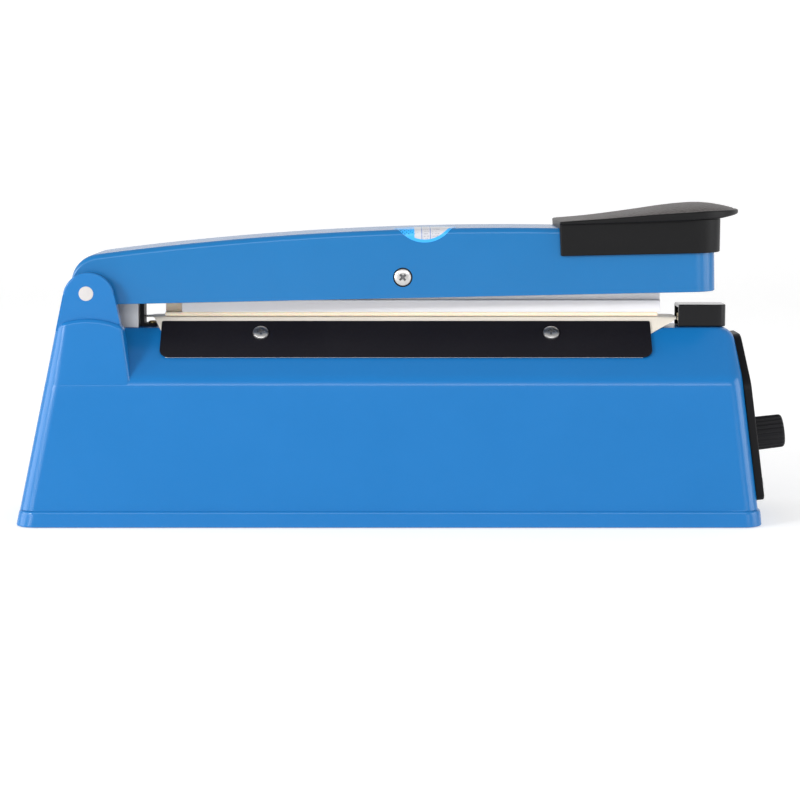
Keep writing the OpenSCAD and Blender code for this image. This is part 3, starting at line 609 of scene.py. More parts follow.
class Form:
    """A mesh in millimetres, grown with bmesh operators and then published as one piece."""

    def __init__(self) -> None:
        self.bm = bmesh.new()

    def start_ring(self, points: Outline) -> list[bmesh.types.BMVert]:
        """A closed ring of edges through the points."""
        made = bmesh.ops.create_circle(self.bm, cap_ends=False, segments=len(points), radius=1.0)
        for vert, point in zip(made["verts"], points, strict=True):
            vert.co = point
        return made["verts"]

    def cap(self, verts: list[bmesh.types.BMVert], material: int = 0) -> bmesh.types.BMFace:
        """One face across a ring."""
        made = bmesh.ops.contextual_create(self.bm, geom=self.edges(verts), mat_nr=material,
                                           use_smooth=True)
        return made["faces"][0]

    def edges(self, verts: list[bmesh.types.BMVert]) -> list[bmesh.types.BMEdge]:
        """The edges between following verts of a ring."""
        return [self.bm.edges.get(pair) for pair in zip(verts, verts[1:] + verts[:1], strict=True)]

    def grow(self, verts: list[bmesh.types.BMVert], points: Outline,
             material: int = 0) -> list[bmesh.types.BMVert]:
        """Extrudes a ring of edges to the next ring's points."""
        grown = bmesh.ops.extrude_edge_only(self.bm, edges=self.edges(verts))["geom"]
        fresh = {g for g in grown if isinstance(g, bmesh.types.BMVert)}
        for face in (g for g in grown if isinstance(g, bmesh.types.BMFace)):
            face.material_index = material
        after = []
        for vert, point in zip(verts, points, strict=True):
            twin = next(o for e in vert.link_edges for o in [e.other_vert(vert)] if o in fresh)
            twin.co = point
            after.append(twin)
        return after

    def loft(self, rings: Sequence[Outline], materials: Sequence[int] | None = None,
             caps: tuple[bool, bool] = (True, True)) -> None:
        """A skin through rings of the same point count.

        Args:
            rings: the rings in order.
            materials: the material index of each band, or none for all 0.
            caps: whether the first and last rings are closed with a face.
        """
        bands = list(materials or [0] * (len(rings) - 1))
        verts = self.start_ring(rings[0])
        if caps[0]:
            self.cap(verts, bands[0])
        for ring, band in zip(rings[1:], bands, strict=True):
            verts = self.grow(verts, ring, band)
        if caps[1]:
            self.cap(verts, bands[-1])

    def prism(self, outline: Outline, along: Vector) -> None:
        """A straight solid from an outline."""
        self.loft([outline, [p + along for p in outline]])

    def box(self, low: tuple[float, float, float], high: tuple[float, float, float]) -> None:
        """A rectangular solid."""
        (x0, y0, z0), (x1, y1, z1) = low, high
        self.prism([Vector((x, y, z0)) for x, y in ((x0, y0), (x1, y0), (x1, y1), (x0, y1))],
                   Vector((0, 0, z1 - z0)))

    def turned(self, profile: Sequence[tuple[float, float]], sides: int = 40,
               place: Matrix | None = None) -> None:
        """A solid of revolution about Z from (radius, height) points that start and end on the axis."""
        place = place or Matrix.Identity(4)
        verts = [bmesh.ops.create_vert(self.bm, co=place @ Vector((r, 0.0, z)))["vert"][0]
                 for r, z in profile]
        edges = [self.bm.edges.new(pair) for pair in zip(verts[:-1], verts[1:], strict=True)]
        bmesh.ops.spin(self.bm, geom=verts + edges, cent=place @ Vector(),
                       axis=place.to_3x3() @ Vector((0, 0, 1)),
                       angle=math.tau, steps=sides, use_merge=True, use_duplicate=False)
        bmesh.ops.remove_doubles(self.bm, verts=self.bm.verts, dist=WELD / 4)

    def paint(self, material: int) -> None:
        """Gives every face one material index."""
        for face in self.bm.faces:
            face.material_index = material

    def soften(self, picked: Callable[[bmesh.types.BMEdge], bool], width: float, segments: int = 3) -> None:
        """Rounds the edges that a test picks."""
        chosen = [e for e in self.bm.edges if e.is_manifold and picked(e)]
        if chosen:
            bmesh.ops.bevel(self.bm, geom=chosen, offset=width, offset_type="OFFSET", segments=segments,
                            profile=0.5,
                            affect="EDGES", material=-1, clamp_overlap=True)

    def join(self, other: "Form") -> None:
        """Takes in another form's mesh."""
        kept = bpy.data.meshes.new("joined")
        other.bm.to_mesh(kept)
        other.bm.free()
        self.bm.from_mesh(kept)
        bpy.data.meshes.remove(kept)

    def publish(self, name: str, body: Body, finishes: Sequence[Finish], slot: Slot,
                nodes: Sequence[str] = (), place: Matrix | None = None, sharp: float = 32.0,
                weighted: bool = True) -> bpy.types.Object:
        """Makes the piece: metres, clean normals, finish, body, and the CAD nodes it stands for.

        Args:
            name: the piece's name.
            body: the body it rides on.
            finishes: its materials in index order.
            slot: the record's slot; not used.
            nodes: CAD nodes it replaces.
            place: from the form's frame to the row frame, in millimetres.
            sharp: edges that fold more than this many degrees stay crisp.
            weighted: whether flat faces keep flat shading beside rounded edges.

        Returns:
            The new object.
        """
        turn = Matrix.Scale(METRES, 4) @ (place or Matrix.Identity(4))
        bmesh.ops.remove_doubles(self.bm, verts=self.bm.verts, dist=WELD)
        bmesh.ops.dissolve_degenerate(self.bm, edges=self.bm.edges, dist=WELD / 2)
        bmesh.ops.transform(self.bm, matrix=turn, verts=self.bm.verts)
        bmesh.ops.recalc_face_normals(self.bm, faces=self.bm.faces)
        mesh = bpy.data.meshes.new(name)
        self.bm.to_mesh(mesh)
        self.bm.free()
        for finish in finishes:
            mesh.materials.append(finish.material())
        mesh.polygons.foreach_set("use_smooth", [True] * len(mesh.polygons))
        mesh.set_sharp_from_angle(angle=math.radians(sharp))
        piece = bpy.data.objects.new(name, mesh)
        bpy.context.scene.collection.objects.link(piece)
        if weighted:
            smooth = piece.modifiers.new("weighted", "WEIGHTED_NORMAL")
            smooth.keep_sharp = True
        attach(piece, body.value)
        if nodes:
            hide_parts(*nodes)
        LOG.info("%s on %s: %d faces", name, body.value, len(mesh.polygons))
        return piece


@dataclass(frozen=True)
class PanScrew:
    """A pan head with a cross recess, its seat at z 0."""

    head: float = 3.35
    height: float = 1.3
    cross: float = 2.0
    slot: float = 0.55
    depth: float = 0.8
    sides: int = 40
    dome: tuple[float, ...] = (25.0, 45.0, 62.0, 76.0)

    def add(self, form: Form, place: Matrix, spin: float = 0.0) -> None:
        """Adds one screw head to a form.

        Args:
            form: the form that takes it.
            place: the seat's frame.
            spin: turn of the cross, in degrees.
        """
        profile = [(self.head * 0.9, -0.3), (self.head, 0.0), (self.head, self.height * 0.25)]
        for angle in self.dome:
            a = math.radians(angle)
            profile.append((self.head * (0.28 + 0.72 * math.cos(a)) + 0.02,
                            self.height * (0.25 + 0.7 * math.sin(a))))
        turns = [math.tau * i / self.sides for i in range(self.sides)]
        rings = [[place @ Vector((r * math.cos(a), r * math.sin(a), z)) for a in turns]
                 for r, z in profile]
        verts = form.start_ring(rings[0])
        form.cap(verts)
        for ring in rings[1:]:
            verts = form.grow(verts, ring)
        rim = form.edges(verts)
        top = profile[-1][1] + 0.02
        turn = place @ Matrix.Rotation(math.radians(spin), 4, "Z")
        arm, bar = self.cross / 2 * 0.96, self.slot / 2
        corner = [(arm, -bar), (arm, bar), (bar, bar), (bar, arm), (-bar, arm), (-bar, bar),
                  (-arm, bar), (-arm, -bar), (-bar, -bar), (-bar, -arm), (bar, -arm), (bar, -bar)]
        mouth = form.start_ring([turn @ Vector((x, y, top)) for x, y in corner])
        form.bm.verts.index_update()
        bmesh.ops.triangle_fill(form.bm, edges=rim + form.edges(mouth), use_beauty=True, use_dissolve=False)
        lowered = [turn @ Vector((x * 0.7, y * 0.8, top - self.depth)) for x, y in corner]
        # The recess walls and floor take material 1, the darker steel that paints the shade in the cross.
        floor = form.grow(mouth, lowered, 1)
        form.cap(floor, 1)


# ---- the casing ----


@dataclass(frozen=True)
class Casing:
    """The moulded base casing with its skirt, 45 degree roof and hinge towers."""

    corner: float = 7.0
    skirt_wall: float = 3.2
    skirt_low: float = 0.3
    skirt_high: float = 6.9
    skirt_flare: float = 0.7
    skirt_steps: tuple[tuple[float, float], ...] = ((0.3, 0.5), (0.45, 0.16), (0.8, 0.0), (5.5, 0.42),
                                                    (6.1, 0.52),
                                                    (6.5, 0.68), (6.78, 0.92), (6.9, 1.3))
    wall_levels: tuple[float, ...] = (7.0, 7.4, 20.0, 34.0, 48.0, 55.0, 57.6, 58.4, 59.2, 59.6, 60.0, 60.4,
                                      60.8, 61.6, 62.4, 66.0, 70.0, 75.0)
    crown_steps: int = 8
    crown_edge: float = 0.9
    ear_foot: tuple[tuple[float, float], ...] = ((-143.6, 80.0), (-116.6, 80.0))
    crease_round: float = 2.4
    ridge_round: float = 4.6
    ear_inner: float = 22.6
    ear_outer: float = 27.8
    ear_r: float = 10.6
    ear_centre: tuple[float, float] = (-130.0, 93.2)
    shoulder: tuple[float, float, float] = (-130.2, 51.2, 33.8)
    edge_round: float = 1.75
    tower_low: float = 56.0
    tower_datum: float = 57.0
    tower_front: float = -112.2
    tower_lean: float = 0.1525
    hidden: float = 0.06

    def half_at(self, z: float) -> float:
        """Half width at a height, with the crease rounded."""
        side, roof = LAYOUT.side_at(z), LAYOUT.roof - z
        near = max(self.crease_round - abs(side - roof), 0.0) / self.crease_round
        return min(side, roof) - near * near * self.crease_round * 0.25

    def levels(self) -> list[tuple[float, float, float, float, float]]:
        """(z, rear, front, half, corner) of each ring of the shell, from inside the skirt to the ridge."""
        lay = LAYOUT
        rows = []
        inner = self.skirt_wall
        for z in (6.0, self.skirt_low + 0.4):
            rows.append((z, lay.rear + inner, lay.front - inner, lay.skirt_half - inner, 5.0))
        inner -= 0.4
        rows.append((self.skirt_low, lay.rear + inner, lay.front - inner, lay.skirt_half - inner, 5.4))
        for z, inset in self.skirt_steps:
            flare = inset + self.skirt_flare * (z - self.skirt_low) / (self.skirt_high - self.skirt_low)
            rows.append((z, lay.rear + flare, lay.front - inset, lay.skirt_half - inset, 8.0))
        round_from = lay.ridge - self.ridge_round
        crown = [round_from + self.ridge_round * math.sin(QUARTER * share)
                 for share in even(self.crown_steps)]
        for z in [*self.wall_levels, *(level for level in crown if level > self.wall_levels[-1])]:
            blend = min(max((z - lay.crease) / (lay.ridge - lay.crease), 0.0), 1.0)
            rise = max(z - round_from, 0.0) / self.ridge_round
            fall = self.ridge_round * (1.0 - math.sqrt(max(1.0 - rise * rise, 0.0)))
            near_top = max(z - lay.ridge + self.crown_edge, 0.0) / self.crown_edge
            edge = self.crown_edge * (1.0 - math.sqrt(max(1.0 - near_top**2, 0.0)))
            rows.append((z, lay.rear_at(z) + fall, lay.front_at(z) - fall, self.half_at(z) - edge * 0.6,
                         self.corner - 3.0 * blend))
        return rows

    def shell(self) -> Form:
        """The body's skin as one loft."""
        form = Form()
        shares = even(18)
        rings = []
        for z, x0, x1, half, radius in self.levels():
            rings.append([Vector((x, y, z))
                          for x, y in rounded_plan(x0, x1, half, radius, radius, shares, 8)])
        form.loft(rings)
        return form

    def tower_plan(self, inset: float) -> list[tuple[float, float]]:
        """The tower's near outline at its datum height, as (x, distance out from its inner face)."""
        rear = LAYOUT.rear_at(self.tower_datum) + self.hidden + inset
        front = self.tower_front - inset
        out = LAYOUT.side_at(self.tower_datum) - self.hidden - self.ear_inner - inset
        big, small = self.corner - 0.1 - inset, self.edge_round + 0.05 - inset
        points = arc((rear + big, out - big), big, 180.0, 90.0, 8)
        points += [(rear + big + (front - small - rear - big) * share, out) for share in even(10)[1:-1]]
        return points + arc((front - small, out - small), small, 90.0, 0.0, 4)

    def tower_ring(self, share: float, inset: float) -> Outline:
        """A ring round the tower: a share of the way up its walls, or past 1 over the rounded shoulder."""
        cx, cz, radius = self.shoulder
        lay, datum = LAYOUT, self.tower_datum
        turn = QUARTER * max(share - 1.0, 0.0)
        drop = self.edge_round * (1.0 - math.sin(turn))
        plan = self.tower_plan(inset)
        length = plan[-1][0] - plan[0][0]
        near, inner = [], []
        for x, out in plan:
            along = (x - plan[0][0]) / length
            z = datum
            for _ in range(4):
                lean = lay.rear_slope * (1.0 - along) - self.tower_lean * along
                place = x + (z - datum) * lean
                top = cz + math.sqrt(radius**2 - (place - cx) ** 2) - drop
                z = self.tower_low + (top - self.tower_low) * min(share, 1.0)
            side = lay.side_at(datum) - lay.side_at(z)
            near.append(Vector((place, -(self.ear_inner + max(out - side, inset)), z)))
            inner.append(Vector((place, -(self.ear_inner + inset * 0.4), z)))
        return near + inner[::-1]

    def tower(self) -> Form:
        """The near tower: walls in line with the body's, rounded at its corners and over its shoulder."""
        form = Form()
        verts = form.start_ring(self.tower_ring(0.0, 0.0))
        form.cap(verts)
        for share in (0.35, 0.7, 1.0):
            verts = form.grow(verts, self.tower_ring(share, 0.0))
        for step in even(6)[1:]:
            inset = self.edge_round * (1.0 - math.cos(QUARTER * step))
            verts = form.grow(verts, self.tower_ring(1.0 + step, inset))
        form.cap(verts)
        for i in range(1, len(verts) // 2 - 1):
            bmesh.ops.connect_verts(form.bm, verts=[verts[i], verts[-1 - i]])
        return form

    def ear(self) -> Form:
        """The near ear that carries the hinge pin."""
        outline = [*self.ear_foot] + arc(self.ear_centre, self.ear_r, 6.0, 174.0, 36)
        form = Form()
        form.prism([Vector((x, -self.ear_inner, z)) for x, z in outline],
                   Vector((0.0, self.ear_inner - self.ear_outer, 0.0)))
        form.soften(lambda e: all(v.co.y < -27.0 and v.co.z > 80.5 for v in e.verts), 1.2, 4)
        form.soften(lambda e: all(v.co.y > -22.7 and v.co.z > 80.5 for v in e.verts), 0.5, 2)
        return form

    def build(self) -> None:
        """Joins the shell, both towers and both ears into one piece."""
        form = self.shell()
        for part in (self.tower, self.ear):
            form.join(part())
            far = part()
            bmesh.ops.scale(far.bm, vec=(1.0, -1.0, 1.0), verts=far.bm.verts)
            bmesh.ops.reverse_faces(far.bm, faces=far.bm.faces)
            form.join(far)
        form.publish("casing_body", Body.BASE, [Palette.blue], Slot.CASING, ["casing"], sharp=38.0)


# ---- the arm ----


@dataclass(frozen=True)
class Arm:
    """The pressed arm: a long shallow arch open below, in the arm's own frame."""

    rear: float = -7.0
    front: float = 259.0
    half: float = 22.0
    bottom: float = -5.03
    wall: float = 2.2
    corner: float = 10.0
    edge_round: float = 2.6
    arch_x: float = 145.0
    arch_top: float = 23.35
    arch_r: float = 1315.0
    nose_r: float = 12.4
    rear_open: float = 1.0
    bolt: tuple[float, float] = (129.7, 3.6)
    bolt_ring: float = 4.0
    bolt_depth: float = 1.1
    near_shares: tuple[float, ...] = (0.0, 0.0015, 0.005, 0.01, 0.017, 0.026, 0.036, 0.046)
    far_steps: int = 38
    nose_steps: int = 6

    def arch(self, x: float) -> float:
        """Height of the top along the arch."""
        return self.arch_top - self.arch_r + math.sqrt(self.arch_r**2 - (x - self.arch_x) ** 2)

    def top(self, x: float) -> float:
        """Height of the top, with the round nose at the rear."""
        nose_x = self.rear + self.nose_r
        lean = math.asin((self.arch_x - nose_x) / (self.arch_r - self.nose_r))
        if x >= nose_x - self.nose_r * math.sin(lean):
            return self.arch(x)
        centre = self.arch_top - self.arch_r + (self.arch_r - self.nose_r) * math.cos(lean)
        return centre + math.sqrt(max(self.nose_r**2 - (x - nose_x) ** 2, 0.0))

    def base(self, x: float) -> float:
        """Height of the lower edge, raised at the rear where the end wall stays clear of the bracket."""
        if x > self.rear + self.wall + 0.25:
            return self.bottom
        return min(self.rear_open, self.top(x) - self.edge_round - 0.5)

    def ring(self, inset: float, height: Callable[[float], float]) -> Outline:
        """A ring round the plan at an inset, its height given along X."""
        last = self.near_shares[-1]
        shares = [*self.near_shares, *(last + (1.0 - last) * far for far in even(self.far_steps)[1:])]
        plan = rounded_plan(self.rear + min(inset, 4.0) * 0.999, self.front - inset,
                            max(self.half - inset, 0.0),
                            0.6 * (inset < self.half), max(self.corner - inset, 0.0), shares, 8)
        return [Vector((x, y, height(x))) for x, y in plan]

    def rings(self) -> list[Outline]:
        """The skin from the top's middle, down the sides, round the edge and up inside to the ceiling."""
        r = self.edge_round
        made = [self.ring(self.half, self.top), self.ring(self.half * 0.55, self.top)]
        for share in even(self.nose_steps):
            a = QUARTER * share
            drop = r * (1.0 - math.cos(a))
            made.append(self.ring(r * (1.0 - math.sin(a)), lambda x, drop=drop: self.top(x) - drop))
        made.append(self.ring(0.0, lambda x: self.base(x) + 0.35))
        made.append(self.ring(0.1, lambda x: self.base(x) + 0.1))
        made.append(self.ring(0.35, self.base))
        made.append(self.ring(self.wall - 0.3, self.base))
        made.append(self.ring(self.wall, lambda x: self.base(x) + 0.3))
        made.append(self.ring(self.wall, lambda x: max(self.top(x) - self.wall - 1.0, self.base(x) + 0.6)))
        made.append(self.ring(self.wall + 1.0, lambda x: max(self.top(x) - self.wall, self.base(x) + 0.6)))
        made.append(self.ring(self.half, lambda x: max(self.top(x) - self.wall, self.base(x) + 0.6)))
        return made

    def punch(self, form: Form, near: bool) -> None:
        """Sinks the round seat of the jaw bolt into one side."""
        side = -self.half if near else self.half
        x, z = self.bolt
        reach = self.bolt_ring
        wall = [f for f in form.bm.faces if all(abs(v.co.y - side) < 0.01 for v in f.verts)
                and min(v.co.x for v in f.verts) < x + reach and max(v.co.x for v in f.verts) > x - reach]
        bmesh.ops.delete(form.bm, geom=wall, context="FACES")
        border = [e for e in form.bm.edges if e.is_boundary]
        steps = 48
        mouth = form.start_ring([Vector((x + reach * math.cos(math.tau * i / steps), side,
                                         z + reach * math.sin(math.tau * i / steps)))
                                 for i in range(steps)])
        bmesh.ops.triangle_fill(form.bm, edges=border + form.edges(mouth), use_beauty=True,
                                use_dissolve=False)
        sink = self.bolt_depth if near else -self.bolt_depth
        # The seat's wall and floor take material 1, near-black painted shade round the bolt head.
        floor = form.grow(mouth, [v.co + Vector((0.0, sink, 0.0)) for v in mouth], 1)
        form.cap(floor, 1)

    def build(self) -> None:
        """Publishes the shell of the arm."""
        form = Form()
        form.loft(self.rings(), caps=(False, False))
        bmesh.ops.remove_doubles(form.bm, verts=form.bm.verts, dist=WELD)
        self.punch(form, True)
        self.punch(form, False)
        form.publish("arm_shell_body", Body.ARM, [Palette.blue_arm, Palette.recess], Slot.ARM,
                     ["arm_shell"], LAYOUT.arm_frame())


ARM = Arm()


@dataclass(frozen=True)
class Handle:
    """The black grip: a sleeve over the arm's end with a flared, pebbled brim."""

    sleeve: tuple[float, float, float, float] = (194.7, 261.3, 11.0, 24.6)
    half: float = 24.0
    corner: float = 12.0
    rear: float = 194.4
    rear_half: float = 25.4
    centre: float = 243.6
    radius: float = 26.9
    wall: float = 1.9
    lift_steps: int = 8
    under_line: tuple[tuple[float, float], ...] = ((193.6, 23.8), (225.0, 24.2), (261.0, 25.0),
                                                   (270.5, 26.4))
    rim_line: tuple[tuple[float, float], ...] = ((193.6, 25.1), (213.0, 26.0), (235.0, 27.4),
                                                 (255.0, 28.2), (270.5, 28.2))
    crown_line: tuple[tuple[float, float], ...] = (
        (193.6, 25.2), (200.0, 25.8), (213.0, 27.2), (222.0, 28.3), (230.0, 29.3), (238.0, 30.4),
        (244.0, 31.0), (251.0, 31.4), (255.0, 31.3), (259.5, 30.8), (264.5, 29.8), (268.0, 28.8),
        (270.5, 28.2))

    def block(self) -> Form:
        """The sleeve."""
        x0, x1, z0, z1 = self.sleeve
        form = Form()
        shares = even(10)

        def ring(z: float, inset: float) -> Outline:
            plan = rounded_plan(x0 + inset, x1 - inset, self.half - inset, 0.8,
                                self.corner - inset, shares, 10)
            return [Vector((x, y, z)) for x, y in plan]

        levels = [(z0 + 2.0, self.wall), (z0 + 0.2, self.wall), (z0, self.wall - 0.2), (z0, 0.5),
                  (z0 + 0.15, 0.15), (z0 + 0.5, 0.0), (z1, -0.35)]
        form.loft([ring(z, inset) for z, inset in levels])
        return form

    def plan(self, inset: float, squeeze: float = 1.0) -> list[tuple[float, float]]:
        """The brim's outline, drawn in by an inset and squeezed towards its middle line."""
        reach = self.radius - inset
        round_part = arc((self.centre, 0.0), reach, -92.0, 92.0, 44)
        rear = self.rear + inset
        half = self.rear_half - inset
        first = [(rear + (round_part[0][0] - rear) * i / 10, -half + (round_part[0][1] + half) * i / 10)
                 for i in range(10)]
        last = [(x, -y) for x, y in reversed(first)]
        return [(x, y * squeeze) for x, y in first + round_part + last]

    @staticmethod
    def _line(x: float, table: Sequence[tuple[float, float]]) -> float:
        """A line of straight stretches through a few (x, z) stations."""
        for (xa, za), (xb, zb) in zip(table[:-1], table[1:], strict=True):
            if x <= xb:
                t = min(max((x - xa) / (xb - xa), 0.0), 1.0)
                return za + (zb - za) * t
        return table[-1][1]

    def under(self, x: float) -> float:
        """Height of the brim's underside."""
        return self._line(x, self.under_line)

    def rim(self, x: float) -> float:
        """Height of the brim's top edge."""
        return self._line(x, self.rim_line)

    def crown(self, x: float) -> float:
        """Height of the pad along its middle."""
        return self._line(x, self.crown_line)

    def brim(self) -> Form:
        """The brim and its pad."""
        form = Form()

        def ring(inset: float, height: Callable[[float], float], squeeze: float = 1.0) -> Outline:
            return [Vector((x, y, height(x))) for x, y in self.plan(inset, squeeze)]

        rings = [ring(1.4, self.under), ring(0.4, self.under), ring(0.08, lambda x: self.under(x) + 0.25),
                 ring(0.0, lambda x: self.under(x) + 0.6),
                 ring(0.0, lambda x: max(self.rim(x) - 0.7, self.under(x) + 0.7)),
                 ring(0.15, lambda x: max(self.rim(x) - 0.25, self.under(x) + 0.9)),
                 ring(0.6, self.rim), ring(1.1, self.rim)]
        bands = [0] * (len(rings) - 1)
        for share in even(self.lift_steps)[1:]:
            lift = math.sin(QUARTER * share) ** 1.1
            inset = 1.3 + 2.5 * share
            squeeze = max(1.0 - share**1.6, 0.0)

            def height(x: float, lift: float = lift) -> float:
                return self.rim(x) + 0.1 + max(self.crown(x) - self.rim(x) - 0.1, 0.0) * lift

            rings.append(ring(inset * (1.0 - share * 0.4), height, squeeze))
            bands.append(1)
        form.loft(rings, bands, caps=(True, False))
        return form

    def build(self) -> None:
        """Publishes the grip."""
        form = self.block()
        form.join(self.brim())
        form.publish("grip_body", Body.ARM, [Palette.grip, Palette.pebbled], Slot.GRIP, ["handle_grip"],
                     LAYOUT.arm_frame(), sharp=50.0)


@dataclass(frozen=True)
class Sticker:
    """A round label stuck over the arm's near top edge."""

    centre: tuple[float, float] = (139.3, -13.5)
    radius: float = 13.0
    lift: float = 0.07
    rings: int = 12
    sides: int = 64

    def bent(self, u: float, v: float, off: float) -> Vector:
        """A flat point of the label laid on the arm: over the top, round the edge and down the side."""
        r = ARM.edge_round
        x = self.centre[0] + u
        out = -self.centre[1] + v
        flat_end = ARM.half - r
        top = ARM.top(x)
        if out <= flat_end:
            return Vector((x, -out, top + off))
        turn = (out - flat_end) / r
        if turn <= QUARTER:
            return Vector((x, -(flat_end + (r + off) * math.sin(turn)),
                           top - r + (r + off) * math.cos(turn)))
        return Vector((x, -(ARM.half + off), top - r - (out - flat_end - r * QUARTER)))

    def build(self) -> None:
        """Publishes the label with its flat coordinates."""
        form = Form()
        flat = form.bm.verts.layers.float_vector.new("flat_place")

        def ring(radius: float, off: float) -> tuple[Outline, list[tuple[float, float]]]:
            turns = [math.tau * i / self.sides for i in range(self.sides)]
            places = [(radius * math.cos(a), radius * math.sin(a)) for a in turns]
            return [self.bent(u, v, off) for u, v in places], places

        def tag(verts: list[bmesh.types.BMVert], places: list[tuple[float, float]]) -> None:
            for vert, (u, v) in zip(verts, places, strict=True):
                vert[flat] = Vector((0.5 + u / 2 / self.radius, 0.5 + v / 2 / self.radius, 0.0))

        under, places = ring(self.radius * 0.02, 0.0)
        verts = form.start_ring(under)
        tag(verts, places)
        form.cap(verts)
        outward = [(self.radius, 0.01)]
        inward = [(self.radius * i / self.rings, self.lift) for i in range(self.rings, 0, -1)]
        for radius, off in outward + inward:
            points, places = ring(radius, off)
            verts = form.grow(verts, points)
            tag(verts, places)
        form.cap(verts)
        uv = form.bm.loops.layers.uv.new("flat")
        for face in form.bm.faces:
            for loop in face.loops:
                loop[uv].uv = loop.vert[flat].xy
        form.publish("arm_label", Body.ARM, [Palette.sticker], Slot.STICKER, ["inspection_sticker"],
                     LAYOUT.arm_frame(), weighted=False)


# ---- the lower jaw ----


@dataclass(frozen=True)
class ClampStrips:
    """The two black strips that hold the cloth on the roof, and their screws."""

    length: float = 203.2
    top: float = 11.5
    low: float = 25.3
    thickness: float = 0.95
    corner: float = 4.0
    upper_corner: float = 0.7
    rim: tuple[tuple[float, float], ...] = ((0.0, -0.45), (0.08, -0.18), (0.25, -0.04), (0.5, 0.0))
    screw_x: float = 60.2
    screw_y: float = 16.4
    screw_lift: float = 0.05

    def strip(self, near: bool) -> None:
        """One strip, drawn flat and laid on its slope."""
        form = Form()
        half = (self.low - self.top) / math.sqrt(2.0)
        x = self.length / 2
        upper = self.upper_corner
        corners = [((x - upper, half - upper), upper, 0.0), ((-x + upper, half - upper), upper, 90.0),
                   ((-x + self.corner, -half + self.corner), self.corner, 180.0),
                   ((x - self.corner, -half + self.corner), self.corner, 270.0)]
        outline = [p for centre, r, begin in corners for p in arc(centre, r, begin, begin + 90.0, 8)]
        inset = [(0.35, -self.thickness), (0.0, -self.thickness + 0.3), *self.rim]
        rings = []
        for step, z in inset:
            sx, sy = (x - step) / x, (half - step) / half
            rings.append([Vector((px * sx, py * sy, z)) for px, py in outline])
        form.loft(rings)
        middle = (self.low + self.top) / 2
        side = "near" if near else "far"
        form.publish(f"clamp_{side}", Body.BASE, [Palette.strip], Slot.STRIP, [f"clamp_strip_{side}"],
                     LAYOUT.roof_frame(0.0, middle, near))

    def screws(self) -> None:
        """The four strip screws."""
        form = Form()
        spin = {(-1, True): 12.0, (1, True): -8.0, (-1, False): 30.0, (1, False): 55.0}
        for (side, near), turn in spin.items():
            frame = LAYOUT.roof_frame(side * self.screw_x, self.screw_y, near)
            place = frame @ Matrix.Translation((0, 0, self.screw_lift))
            PanScrew(cross=4.0, slot=0.95, depth=0.7).add(form, place, turn)
        form.publish("strip_screw_heads", Body.BASE, [Palette.bright, Palette.worn], Slot.BRIGHT,
                     ["strip_screws"], weighted=False)

    def build(self) -> None:
        """Both strips and their screws."""
        self.strip(True)
        self.strip(False)
        self.screws()


@dataclass(frozen=True)
class Cloth:
    """The release cloth: one sheet folded over the rail with tapered ends."""

    ends: tuple[float, float] = (-109.3, 113.0)
    slope: float = 92.98
    top: float = 84.13
    reach: float = 24.4
    thickness: float = 0.22
    fold: float = 0.7
    rear_taper: tuple[tuple[float, float], ...] = ((0.0, -109.3), (1.9, -109.3), (15.0, -101.2),
                                                   (24.4, -99.0))
    front_taper: tuple[tuple[float, float], ...] = ((0.0, 113.0), (9.2, 112.8), (10.6, 111.0),
                                                    (14.5, 103.0), (15.6, 101.0), (24.4, 97.5))
    runs: int = 60
    near_fold: float = 0.9
    free_from: float = 101.6
    free_run: float = 12.0
    free_lift: float = 0.25

    def height(self, y: float) -> float:
        """Height of the sheet over a Y, with the fold at the rail's edge rounded."""
        flat, slant = self.top, self.slope - abs(y)
        near = max(self.fold - abs(flat - slant), 0.0) / self.fold
        return min(flat, slant) - near * near * self.fold * 0.25

    @staticmethod
    def edge(y: float, taper: Sequence[tuple[float, float]]) -> float:
        """X of a tapered end at a Y."""
        out = abs(y)
        for (ya, xa), (yb, xb) in zip(taper[:-1], taper[1:], strict=True):
            if out <= yb:
                return xa + (xb - xa) * (out - ya) / (yb - ya)
        return taper[-1][1]

    def stations(self) -> list[float]:
        """Y of the sheet's lines, closer together at the folds."""
        middle = self.slope - self.top
        near, step = self.near_fold, self.near_fold / 4
        half = [0.0, 1.9, 2.6, 5.0, middle - near] + [middle - near + step * i for i in range(1, 9)]
        half += [middle + near + (self.reach - middle - near) * i / 10 for i in range(1, 11)]
        return [-y for y in reversed(half[1:])] + half

    def build(self) -> None:
        form = Form()
        lines = self.stations()
        runs = self.runs
        made = bmesh.ops.create_grid(form.bm, x_segments=runs, y_segments=len(lines) - 1, size=1.0)
        verts = sorted(made["verts"], key=lambda v: (round(v.co.y, 6), v.co.x))
        flat = form.bm.loops.layers.uv.new("flat")
        width = [0.0]
        for a, b in zip(lines[:-1], lines[1:], strict=True):
            width.append(width[-1] + math.hypot(b - a, self.height(b) - self.height(a)))
        places = {}
        for i, vert in enumerate(verts):
            row, col = divmod(i, runs + 1)
            y = lines[row]
            x0, x1 = self.edge(y, self.rear_taper), self.edge(y, self.front_taper)
            x = x0 + (x1 - x0) * col / runs
            free = max(abs(x) - self.free_from, 0.0) / self.free_run
            lift = self.free_lift * free * math.sin(y * 0.5 + x) * min(abs(y) / 6.0, 1.0)
            vert.co = Vector((x, y, self.height(y) - abs(lift)))
            places[vert] = (x * METRES, width[row] * METRES)
        for face in form.bm.faces:
            for loop in face.loops:
                loop[flat].uv = places[loop.vert]
        bmesh.ops.recalc_face_normals(form.bm, faces=form.bm.faces)
        bmesh.ops.solidify(form.bm, geom=form.bm.faces, thickness=-self.thickness)
        sheet = form.publish("release_cloth", Body.BASE, [Palette.cloth], Slot.CLOTH, ["ptfe_cloth"],
                             sharp=50.0, weighted=False)
        for i, (a, b) in enumerate(zip(lines[:-1], lines[1:], strict=True)):
            lengths = [self.edge(y, self.front_taper) - self.edge(y, self.rear_taper) for y in (a, b)]


# ---- the controls ----


